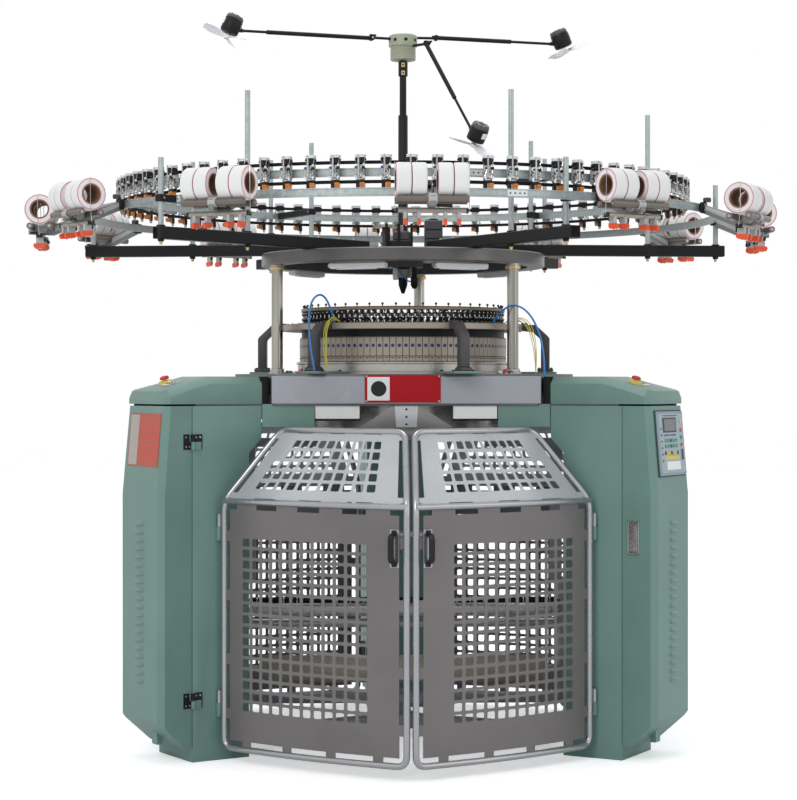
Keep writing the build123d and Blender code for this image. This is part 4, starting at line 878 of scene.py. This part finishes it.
def stand():
    part = upright(prism([(1405, 2343), (1405, 2306), (1560, DRIVE_Z - 34), (1672, DRIVE_Z - 30),
                          (1672, DRIVE_Z + 12), (1650, DRIVE_Z + 20), (1545, DRIVE_Z + 20)], -12, 12,
                          "stand", 3))
    part.add(upright(prism([(1425, 2334), (1425, 2316), (1555, DRIVE_Z - 18), (1555, DRIVE_Z + 6)], -14, 14,
                           "pale cast", 3)))
    part.add(block(1404.3, 1424, -22, 22, 2304, 2350, "black", 3))
    part.add(lathe([(0, 2350), (15, 2350), (17, 2353), (17, 2366), (13, 2369), (0, 2369)], "dark cast", 20),
             move((1430, 0, 0)))
    for z in (2316, 2338):
        part.add(rod((1424, -14, z), (1427, -14, z), 4, "steel", 10, 0.5))
    for side in (-1, 1):
        x = STAND_X + side * SPREAD
        part.add(rod((x, -138, DRIVE_Z), (x, 138, DRIVE_Z), 14.2, "drive roller", 20, 1.5))
        for y in (-138.3, 138.3):
            part.add(rod((x, y - 0.2, DRIVE_Z), (x, y + 0.2, DRIVE_Z), 7, "steel", 12, 0.1))
    part.add(rod((STAND_X, -19, DRIVE_Z), (STAND_X, 19, DRIVE_Z), 27, "pale cast", 28, 3))
    part.add(rod((1654, -17, DRIVE_Z), (1654, 17, DRIVE_Z), 20, "pale cast", 24, 3))
    part.add(block(1600, 1624, -138, 138, DRIVE_Z - 50, DRIVE_Z - 36, "cam", 2))
    part.add(block(1606, 1618, -138, 138, DRIVE_Z - 36, DRIVE_Z - 30.2, "stand", 1))
    for y in (-1, 1):
        part.add(block(1597, 1627, y * 134 - 4, y * 134 + 4, DRIVE_Z - 52, DRIVE_Z - 33, "black plastic", 2))
    lever = bent([(1640, 16, DRIVE_Z - 24), (1650, 30, DRIVE_Z - 28), (1652, 74, DRIVE_Z - 27)], 8, 3)
    part.add(tube(lever, 6, "black plastic", 10))
    flag = [(1590, 72), (1638, 76), (1642, 84), (1636, 97), (1600, 95), (1590, 88)]
    for y in (-102, -50, 50, 102):
        part.add(block(1594, 1630, y - 7, y + 7, DRIVE_Z - 76, DRIVE_Z - 44, "pale cast", 3))
        part.add(hull([(x, y + w, DRIVE_Z - drop) for w in (-6, 6) for x, drop in flag], "red flag"))
        part.add(rod((STAND_X, y + 3, DRIVE_Z - 99.5), (STAND_X, y + 3, DRIVE_Z - 92), 2.5, "chrome", 8))
        part.add(block(1588, 1600, y - 6, y + 6, DRIVE_Z - 66, DRIVE_Z - 50, "black plastic", 2))
    for y in (-141.5, 0, 141.5):
        wire = bent([(STAND_X, y, DRIVE_Z - 42), (1620, y, DRIVE_Z + 10), (1622, y, 2417),
                     (1616, y, 2419.6)], 3, 2)
        part.add(tube(wire, 1.3, "chrome", 6))
    return part


def roll():
    """Elastane roll drawn upwards: thread with pink bands at its rims, on a brown core."""
    profile = [(38, 0.5), (37, 0.5), (42, 0), (44, 0.6), (60, 0.4), (64.5, 1.6), (67, 6), (67.4, 12),
               (67.4, 46), (67, 52), (64.5, 56.4), (60, 57.6), (44, 57.4), (42, 58), (37, 57.5), (36, 57.5)]
    bands = ["pink", "thread", "pink"]
    names = ["core"] * 2 + bands + ["thread"] * 5 + bands + ["core"] * 3
    return lathe(profile, "thread", 36, closed=True, names=names)


rolls = Part()
for side in (-1, 1):
    for step in (0, 59.6):
        start = side * (20.6 + step)
        rolls.add(along(roll(), (STAND_X, start, ROLL_Z), (STAND_X, start + side * 58, ROLL_Z)))
piece("stand looks", around(stand(), 12, 2.3), "frame", ["roll_stands"])
piece("roll looks", around(rolls, 12, 2.3), "frame", ["elastane_rolls"])


# fan

ELBOW = 150
# angle round the hub, length, droop and height of each arm
FANS = {"left": (-71.6, 611, 0.0, 3135), "right": (95.0, 536, 2.0, 3145),
        "drooping": (43.4, 497, 55.6, 3102)}
post = lathe([(0, DISC_TOP), (54, DISC_TOP), (54, 2171), (26, 2174), (22, 2180), (21.5, 2790), (19, 2794),
              (15.5, 2794.5), (15.2, 2968), (21, 2970), (21, 3036), (0, 3039.8)], "black", 28)
for z in (2972, 3008):
    post.add(block(14, 24.5, -8, 8, z, z + 22, "brass", 2), at(0))
    post.add(rod((23, 0, z + 11), (25.5, 0, z + 11), 4, "black", 12, 0.3), at(0))
piece("post looks", post, "frame", ["fan_post"])

hub = lathe([(0, 3040.4), (54, 3040.4), (57, 3044), (57, 3098), (59, 3101), (64.5, 3103), (64.5, 3146),
             (61, 3152), (52, 3155.6), (0, 3155.8)], "hub", 48)
for angle in range(10, 360, 45):
    hub.add(rod((62.5, 0, 3128), (64.7, 0, 3128), 8, "black", 18, 0.3), at(angle))
for angle, length, droop, height in FANS.values():
    stub = rod((53, 7, 0), (142, 7, 0), 6, "black", 14)
    stub.add(rod((ELBOW, 0.4, 0), (ELBOW, 12, 0), 13, "black", 24, 2))
    stub.add(rod((ELBOW, 12, 0), (ELBOW, 20, 0), 5, "steel", 12))
    stub.add(hull([(146, 17, -3), (154, 17, -3), (146, 19.5, 3), (154, 19.5, 3), (132, 18, 9), (168, 18, 9),
                   (136, 19.5, 14), (164, 19.5, 14)], "black"))
    hub.add(stub, at(angle, z=height))
piece("hub looks", hub, "fan_hub", ["fan_hub"])


def fan_motor():
    part = lathe([(0, -42), (30, -42), (38, -39), (41, -34), (41, 20), (39, 24), (39, 33), (34, 40),
                  (20, 42), (0, 42)], "black plastic", 32,
                 names=["black"] * 4 + ["black plastic"] + ["motor"] * 4)
    for i in range(8):
        t = math.pi / 4 * i
        part.add(block(28, 36, -3, 3, 38.5, 41.5, "black", 1), Matrix.Rotation(t, 4, "Z"))
    part.add(block(-12, 12, -9, 9, 41, 44, "black", 3))
    part.add(block(38, 42.5, -12, 12, -14, 12, "white plastic", 2))
    part.add(disc(4.8, -52, -41, "steel", 12))
    return part


def fan_blades():
    part = lathe([(0, -18), (9, -18), (13.5, -14), (13.5, -2), (11, -0.3), (0, -0.2)], "blade", 24,
                 names=["red flag"] + ["blade"] * 4)
    for index in range(3):
        blade = Part()
        steps = 7
        for i in range(steps + 1):
            share = i / steps
            r = 11 + share * 102
            width = 10 + 17 * math.sin(math.pi * min(1, share * 1.25) * 0.5)
            width *= 1 if share < 0.85 else 0.82
            pitch = math.radians(34 - 16 * share)
            for k in (-1, -0.4, 0.4, 1):
                y = k * width
                camber = 2.4 * (1 - k * k)
                x, z = r - abs(k) * 4 * share, -9 + y * math.sin(pitch) + camber
                blade.points.append(Vector((x, y * math.cos(pitch), z)))
        rows = len(blade.points)
        blade.points += [p + Vector((0, 0, 1.8)) for p in blade.points]
        for i in range(steps):
            for k in range(3):
                a = i * 4 + k
                ids = (a, a + 4, a + 5, a + 1)
                blade.faces.append(ids)
                blade.faces.append(tuple(v + rows for v in reversed(ids)))
        rim = [i * 4 for i in range(steps + 1)] + [steps * 4 + k for k in (1, 2, 3)]
        rim += [i * 4 + 3 for i in range(steps - 1, -1, -1)] + [2, 1]
        for a, b in zip(rim, rim[1:] + rim[:1]):
            blade.faces.append((a, b, b + rows, a + rows))
        blade.names = ["blade"] * len(blade.faces)
        part.add(blade, Matrix.Rotation(2 * math.pi / 3 * index, 4, "Z"))
    return part


motor, blades = fan_motor(), fan_blades()
for name, (angle, length, droop, height) in FANS.items():
    elbow = at(angle, z=height) @ move((ELBOW, 0, 0)) @ turn(droop, "Y")
    seat = elbow @ move((length + 34, -7, 25)) @ turn(-25, "Y")
    arm = rod((0, -12, 0), (0, -0.5, 0), 13, "black", 24, 2)
    thick = length * (0.8 if name == "left" else 0.64)
    arm.add(rod((8, -7, 0), (thick, -7, 0), 9.5, "black", 18, 2))
    arm.add(rod((thick - 4, -7, 0), (length - 14, -7, 0), 6, "black", 14))
    arm.add(rod((length - 18, -7, 0), (length + 6, -7, 0), 8, "black", 14, 2))
    wire = bent([(length - 10, -3, 4), (length - 4, 6, 22), (length + 10, 4, 44)], 8, 3)
    arm.add(tube(wire, 2, "red", 6))
    whole = Part().add(arm, elbow)
    whole.add(motor, seat)
    piece(f"fan arm {name} looks", whole, f"fan_arm_{name}", [f"fan_arm_{name}"])
    whole = Part().add(blades, seat @ move((0, 0, -52.3)))
    piece(f"fan blades {name} looks", whole, f"fan_blades_{name}", [f"fan_blades_{name}"])


# gates, each drawn from its hinge along x, its outer side towards -y

GATE_START, GATE_END, GATE_MIDDLE = 27.0, 943.0, 485.0
TOP_START, TOP_END = 197.0, 823.0
GATE_RAIL, GATE_MID, GATE_TOP = 60.0, 1092.0, 1388.0
GATE_LEAN, GATE_BOW, TOP_BOW = 171.0, 33.0, 22.5
TUBE_R, SHEET_HALF = 13.5, 1.5


def bulge(x, low=GATE_START, high=GATE_END, depth=GATE_BOW):
    """Outward bow of the gate at a place along its width."""
    share = (x - GATE_MIDDLE) / ((high - low) / 2)
    return -depth * (1 - share * share * (1.5 - 0.5 * abs(share)))


def gate_surface(u, v, lower):
    """Point on the sheet's surface: u across from 0 to 1, v up from 0 to 1."""
    x = GATE_START + (GATE_END - GATE_START) * u
    if lower:
        return Vector((x, bulge(x), GATE_RAIL + (GATE_MID - GATE_RAIL) * v))
    high = TOP_START + (TOP_END - TOP_START) * u
    y_high = GATE_LEAN + bulge(high, TOP_START, TOP_END, TOP_BOW)
    return Vector((x, bulge(x), GATE_MID)).lerp(Vector((high, y_high, GATE_TOP)), v)


def divided(low, high, count):
    return [low + (high - low) * i / count for i in range(count + 1)]


def gate_frame_looks():
    """Bent tube round both sheets, the rail between them and the hinge barrels."""
    low_row = [(x, bulge(x), GATE_RAIL) for x in divided(GATE_START, GATE_END, 12)[1:-1]]
    top_row = [(x, GATE_LEAN + bulge(x, TOP_START, TOP_END, TOP_BOW), GATE_TOP)
               for x in divided(TOP_START, TOP_END, 10)[1:-1]]
    free_side = [(GATE_END, 0, GATE_RAIL), (GATE_END, 0, GATE_MID), (TOP_END, GATE_LEAN, GATE_TOP)]
    hinge_side = [(TOP_START, GATE_LEAN, GATE_TOP), (GATE_START, 0, GATE_MID), (GATE_START, 0, GATE_RAIL)]
    path = low_row + free_side + top_row[::-1] + hinge_side
    out = []
    for i, p in enumerate(path):
        if p not in free_side + hinge_side:
            out.append(Vector(p))
            continue
        a, b, c = Vector(path[i - 1]), Vector(p), Vector(path[(i + 1) % len(path)])
        # a neighbour on the curved rail is close, so the bend is cut short there
        reach = min(46.0, 0.9 * (a - b).length, 0.9 * (c - b).length)
        u, w = b + (a - b).normalized() * reach, b + (c - b).normalized() * reach
        for t in divided(0, 1, 6):
            out.append(u * (1 - t) ** 2 + b * 2 * t * (1 - t) + w * t * t)
    part = tube(out, TUBE_R, "gate tube", 14, closed=True)
    middle = [Vector((x, bulge(x), GATE_MID)) for x in divided(GATE_START, GATE_END, 14)]
    part.add(tube(middle, TUBE_R - 0.5, "gate tube", 14))
    for z in (240, 980):
        part.add(disc(10, z + 0.5, z + 55, "gate tube", 18))
        part.add(block(2, 26, -4, 4, z + 0.5, z + 55, "gate tube", 1))
        part.add(disc(5, z + 55, z + 59, "steel", 14))
    return part


def sheet_points(u, v, lower):
    """The points on both sides of the sheet at one place."""
    p = gate_surface(u, v, lower)
    n = (gate_surface(u + 0.01, v, lower) - p).cross(gate_surface(u, v + 0.01, lower) - p).normalized()
    return [p + n * SHEET_HALF, p - n * SHEET_HALF]


def both_sides(part, ids):
    """Face on one side of the sheet and its reverse on the other."""
    part.faces.append(tuple(ids))
    part.faces.append(tuple(i + 1 for i in reversed(ids)))


def holed(lower, columns, rows, field, name, closed=()):
    """Perforated field: one square hole with broken corners in each cell that isn't closed."""
    part = Part()
    u0, u1, v0, v1 = field
    fu, fv = (u1 - u0) / columns, (v1 - v0) / rows
    hole, cut = 0.36, 0.09
    edge = hole - cut
    outer = [(-.5, -.5), (0, -.5), (.5, -.5), (.5, 0), (.5, .5), (0, .5), (-.5, .5), (-.5, 0)]
    inner = [(-edge, -hole), (edge, -hole), (hole, -edge), (hole, edge), (edge, hole), (-edge, hole),
             (-hole, edge), (-hole, -edge)]
    for row in range(rows):
        for column in range(columns):
            cu, cv = u0 + (column + 0.5) * fu, v0 + (row + 0.5) * fv

            def put(cell):
                ids = []
                for a, b in cell:
                    ids.append(len(part.points))
                    part.points += sheet_points(cu + a * fu, cv + b * fv, lower)
                return ids

            if (row, column) in closed:
                both_sides(part, put(outer))
                continue
            ids_in, corners = put(inner), put(outer[::2])
            for k in range(4):
                a, b = ids_in[2 * k], ids_in[2 * k + 1]
                both_sides(part, [corners[k], corners[(k + 1) % 4], b, a])
                both_sides(part, [corners[(k + 1) % 4], ids_in[(2 * k + 2) % 8], b])
            for a, b in zip(ids_in, ids_in[1:] + ids_in[:1]):
                part.faces.append((a, b, b + 1, a + 1))
    part.names = [name] * len(part.faces)
    return part


def plain(lower, u0, u1, v0, v1, name, nu=1, nv=1):
    """Plain strip of the sheet, with its edges closed."""
    part = Part()
    grid = {}
    for i, u in enumerate(divided(u0, u1, nu)):
        for j, v in enumerate(divided(v0, v1, nv)):
            grid[i, j] = len(part.points)
            part.points += sheet_points(u, v, lower)
    for i in range(nu):
        for j in range(nv):
            both_sides(part, [grid[i, j], grid[i + 1, j], grid[i + 1, j + 1], grid[i, j + 1]])
    rim = [grid[i, 0] for i in range(nu)] + [grid[nu, j] for j in range(nv)]
    rim += [grid[i, nv] for i in range(nu, 0, -1)] + [grid[0, j] for j in range(nv, 0, -1)]
    for a, b in zip(rim, rim[1:] + rim[:1]):
        part.faces.append((a, a + 1, b + 1, b))
    part.names = [name] * len(part.faces)
    return part


def sheet(lower, columns, rows, field, border, counts, name, closed=()):
    """Perforated field with its plain margins; ranges are (u0, u1, v0, v1)."""
    u0, u1, v0, v1 = field
    left, right, bottom, top = border
    part = holed(lower, columns, rows, field, name, closed)
    for a, b in ((left, u0), (u1, right)):
        part.add(plain(lower, a, b, bottom, top, name, *counts))
    for a, b in ((bottom, v0), (v1, top)):
        part.add(plain(lower, u0, u1, a, b, name, 12))
    return part


def gate_sheets():
    """Lower sheet with twelve columns and sixteen rows of holes, upper sheet with eleven and five."""
    width, height, slant = GATE_END - GATE_START, GATE_MID - GATE_RAIL, 382.0
    left, right, bottom, top = 33.5 / width, 1 - 33.5 / width, 33.5 / height, 1 - 33.5 / height
    part = sheet(True, 12, 16, (0.108, 0.815, 0.151, 0.858), (left, right, bottom, top), (4, 6), "gate")
    # straps from the sheets to the tube
    for v in (0.14, 0.36, 0.62, 0.86):
        for a, b in ((11 / width, left), (right, 1 - 11 / width)):
            part.add(plain(True, a, b, v - 0.022, v + 0.022, "gate"))
    for u in (0.14, 0.38, 0.62, 0.86):
        part.add(plain(True, u - 0.025, u + 0.025, 11 / height, bottom, "gate"))
        part.add(plain(True, u - 0.06, u + 0.06, top, 1 - 11 / height, "gate"))
    left, right, bottom, top = 0.045, 0.955, 0.05, 0.955
    # the upper sheet's paler colour is painted light
    part.add(sheet(False, 11, 5, (0.125, 0.845, 0.16, 0.88), (left, right, bottom, top), (3, 3), "gate pale",
                   {(4, 0), (3, 0)}))
    for v in (0.09, 0.92):
        for a, b in ((0.015, left), (right, 0.985)):
            part.add(plain(False, a, b, v - 0.04, v + 0.03, "gate pale"))
    for u in (0.1, 0.37, 0.63, 0.9):
        for a, b in ((11 / slant, bottom), (top, 1 - 11 / slant)):
            part.add(plain(False, u - 0.07, u + 0.07, a, b, "gate pale"))
    return part


def gate_handle():
    y = bulge(890) - 1.8
    part = block(868, 912, y - 3, y, 850, 1004, "gate tube", 1.2)
    grip = bent([(890, y - 2, 868), (890, y - 30, 870), (890, y - 36, 890), (890, y - 36, 964),
                 (890, y - 30, 984), (890, y - 2, 986)], 9, 4)
    for dx in (-6, 0, 6):
        part.add(tube([p + Vector((dx, 0, 0)) for p in grip], 7.5, "black plastic", 10))
    for z in (862, 992):
        part.add(block(879, 901, y - 10, y - 2, z - 8, z + 8, "black plastic", 3))
    return part


def gate_place(side, hand):
    side_turn = math.radians(-150)
    across, out = math.cos(side_turn), math.sin(side_turn)
    hinge = (1011 * across - 170 * out, 1011 * out + 170 * across, 0)
    place = move(hinge) @ turn(-35, "Z")
    if hand == "b":
        place = Matrix.Scale(-1, 4, (1, 0, 0)) @ place
    return Matrix.Rotation(2 * math.pi / 3 * side, 4, "Z") @ place


gate_tube_part, sheet_part, handle_part = gate_frame_looks(), gate_sheets(), gate_handle()
for number, side in enumerate(("front", "right", "left")):
    for hand in "ab":
        place = gate_place(number, hand)
        body = f"gate_{side}_{hand}"
        whole = Part().add(gate_tube_part, place).add(handle_part, place)
        if side == "front":
            piece(f"{body} frame looks", whole, body, [f"gate_frame_{side}_{hand}"])
            piece(f"{body} sheet looks", Part().add(sheet_part, place), body, [f"gate_sheet_{side}_{hand}"])
        else:
            piece(f"{body} looks", whole.add(sheet_part, place), body, [f"gate_frame_{side}_{hand}"])


# needle cylinder and take-down

cylinder = lathe([(388, 1360), (400, 1360), (400, 1626.4), (452, 1626.4), (452, 1672), (433, 1672),
                  (433, 1833), (431, 1835), (390, 1835), (388, 1833)], "machined", 128, closed=True)
needle = block(427, 432.6, -0.9, 0.9, 1830, 1838, "chrome", 0.2)
for i in range(180):
    cylinder.add(needle, at(2 * i))
piece("cylinder looks", cylinder, "cylinder", ["needle_cylinder"])

take = copied("takedown_frame", "frame grey", 3)
# the pivot's facets turn freely inside those of the bearing
for p in take.points:
    if p.z < 149 and math.hypot(p.x, p.y) < 40:
        p.xy *= 0.94
for side in (-1, 1):
    for y in (-110, 110):
        for z in (180, 690):
            take.add(screw(9, 6, "black"), move((side * 715, y, z)) @ turn(side * 90, "Y"))
    for y, z, reach, radius, name in ((0, 300, 716.5, 34, "black"), (-40, 570, 716, 26, "steel")):
        take.add(rod((side * 712, y, z), (side * reach, y, z), radius, name, 28))
for z, radius in ((500, 20), (900, 16)):
    take.add(rod((-700, 60, z), (700, 60, z), radius, "roller", 24))
piece("take-down looks", take, "cylinder", ["takedown_frame"])

for name, y, z, radius, look_name, slot_name in (
        ("takedown_roller", -40, 570, 29.5, "roller", "roller_steel"),
        ("press_roller", 7.89, 597.65, 24.6, "rubber", "gasket_rubber")):
    part = lathe([(0, -702.6), (12, -702.6), (12, -690), (radius, -688), (radius, 688), (12, 690),
                  (12, 702.6), (0, 702.6)], look_name, 36)
    for x in range(-660, 680, 60):
        part.add(ring(radius + 0.4, radius - 1, x, x + 6, "steel", 28, 0.2))
    place = move((0, y, z)) @ turn(90, "Y")
    piece(f"{name} looks", Part().add(part, place), name, [name])
layers = [(0, -702.6), (14, -702.6), (14, -640), (28, -640), (30, -639), (42, -638), (44, -639), (58, -638),
          (61.4, -632), (61.4, 632), (58, 638), (44, 639), (42, 638), (30, 639), (28, 640), (14, 640),
          (14, 702.6), (0, 702.6)]
part = lathe(layers, "cloth", 48, names=["steel"] * 3 + ["core"] + ["cloth"] * 9 + ["core"] + ["steel"] * 3)
piece("fabric roll looks", Part().add(part, move((0, 0, 300)) @ turn(90, "Y")), "fabric_roll",
      ["fabric_roll"])

motor_part = copied("drive_motor", "motor", 2)
for i in range(20):
    fin = block(88.5, 94, -2, 2, 930, 1170, "motor", 0.8)
    motor_part.add(fin, move((0, 976.5, 0)) @ Matrix.Rotation(2 * math.pi / 20 * i, 4, "Z"))
piece("motor looks", motor_part, "frame", ["drive_motor"])


# air hoses and signal wires

HOSES = [
    [(-308, -432, 1849.5), (-338, -478, 1975), (-412, -535, 1950), (-418, -562, 1780), (-392, -560, 1638.5)],
    [(380, -372, 1850), (432, -440, 1935), (530, -505, 1900), (592, -528, 1740), (590, -520, 1614.5)],
]
WIRES = [
    [(-284, -449, 1850), (-326, -492, 1890), (-356, -528, 1770), (-338, -520, 1638)],
    [(436, -306, 1850.5), (508, -362, 1890), (566, -425, 1770), (560, -452, 1626.5)],
]


def cords(name, routes, radius, look_name, node):
    """Smooth cords through the same points as the CAD routes, in metres."""
    curve = bpy.data.curves.new(name, "CURVE")
    curve.dimensions = "3D"
    curve.bevel_depth = radius / 1000
    curve.bevel_resolution = 3
    for route in routes:
        spline = curve.splines.new("NURBS")
        spline.points.add(len(route) - 1)
        for point, place in zip(spline.points, route):
            point.co = (place[0] / 1000, place[1] / 1000, place[2] / 1000, 1)
        spline.order_u = 3
        spline.use_endpoint_u = True
        spline.resolution_u = 10
    curve.materials.append(LOOKS[look_name])
    made = bpy.data.objects.new(name, curve)
    bpy.context.collection.objects.link(made)
    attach(made, "frame")
    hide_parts(node)


cords("hose_looks", HOSES, 4.2, "hose blue", "air_hoses")
bundle = []
for route in WIRES:
    for shift in ((0, 0, 0), (7, -5, 6), (-8, 4, -7), (3, 7, -14)):
        inner = [tuple(a + b for a, b in zip(p, shift)) for p in route[1:-1]]
        bundle.append([route[0]] + inner + [route[-1]])
cords("wire_looks", bundle, 1.7, "wire yellow", "signal_wires")


# studio

def studio():
    """White floor that glows a little for the camera only, even light around and three lamps."""
    bpy.ops.mesh.primitive_plane_add(size=60, location=(0, 0, 0))
    floor = bpy.context.object
    floor.name = "studio_floor"
    white = look_material("floor", (0.93, 0.93, 0.93), 0.7, 3, 0.0, tone=0.004, spec=0.1)
    floor.data.materials.append(white)
    paint = floor.data.materials[0].node_tree
    surface = paint.nodes["Material Output"].inputs["Surface"]
    base = surface.links[0].from_socket
    glow, pick, rays = (
        paint.nodes.new("ShaderNode" + kind) for kind in ("Emission", "AddShader", "LightPath"))
    level = paint.nodes.new("ShaderNodeMath")
    level.operation = "MULTIPLY"
    level.inputs[1].default_value = 0.42
    paint.links.new(rays.outputs["Is Camera Ray"], level.inputs[0])
    paint.links.new(level.outputs[0], glow.inputs["Strength"])
    paint.links.new(base, pick.inputs[0])
    paint.links.new(glow.outputs[0], pick.inputs[1])
    paint.links.new(pick.outputs[0], surface)
    world = bpy.data.worlds.new("studio")
    bpy.context.scene.world = world
    world.use_nodes = True
    nodes, links = world.node_tree.nodes, world.node_tree.links
    nodes.clear()
    out = nodes.new("ShaderNodeOutputWorld")
    mix = nodes.new("ShaderNodeMixShader")
    seen, lit = nodes.new("ShaderNodeBackground"), nodes.new("ShaderNodeBackground")
    seen.inputs["Color"].default_value = (1, 1, 1, 1)
    seen.inputs["Strength"].default_value = 1.0
    lit.inputs["Color"].default_value = (0.93, 0.96, 1, 1)
    lit.inputs["Strength"].default_value = 0.74
    rays = nodes.new("ShaderNodeLightPath")
    total = rays.outputs["Is Camera Ray"]
    for name in ("Is Glossy Ray", "Is Transmission Ray"):
        add = nodes.new("ShaderNodeMath")
        add.operation = "ADD"
        links.new(total, add.inputs[0])
        links.new(rays.outputs[name], add.inputs[1])
        total = add.outputs[0]
    links.new(total, mix.inputs[0])
    links.new(lit.outputs[0], mix.inputs[1])
    links.new(seen.outputs[0], mix.inputs[2])
    links.new(mix.outputs[0], out.inputs["Surface"])

    def lamp(name, place, target, size, power):
        data = bpy.data.lights.new(name, "AREA")
        data.shape = "SQUARE"
        data.size = size
        data.energy = power
        made = bpy.data.objects.new(name, data)
        made.location = place
        line = Vector(target) - Vector(place)
        made.rotation_euler = line.to_track_quat("-Z", "Y").to_euler()
        bpy.context.collection.objects.link(made)

    lamp("key", (-4.5, -8.5, 7), (0, 0, 1.4), 4, 260)
    lamp("fill", (8, -5, 4), (0, 0, 1.3), 5, 60)
    lamp("top", (0, 1, 9), (0, 0, 1), 5, 170)


def camera():
    """The photo's view: focal length and shift are in pixels of a picture 800 pixels wide."""
    width, eye = 800, 1.578
    data = bpy.data.cameras.new("camera")
    data.sensor_width = 36
    data.lens = 36 * 2200 / width
    data.shift_x = -4.5 / width
    data.shift_y = -15 / width
    data.clip_end = 100
    made = bpy.data.objects.new("camera", data)
    made.location = (-0.277, -9.916, eye)
    line = Vector((0, 0, eye)) - Vector(made.location)
    made.rotation_euler = line.to_track_quat("-Z", "Y").to_euler()
    bpy.context.collection.objects.link(made)
    bpy.context.scene.camera = made


studio()
camera()
bpy.context.scene.view_settings.view_transform = "Standard"
bpy.context.view_layer.update()
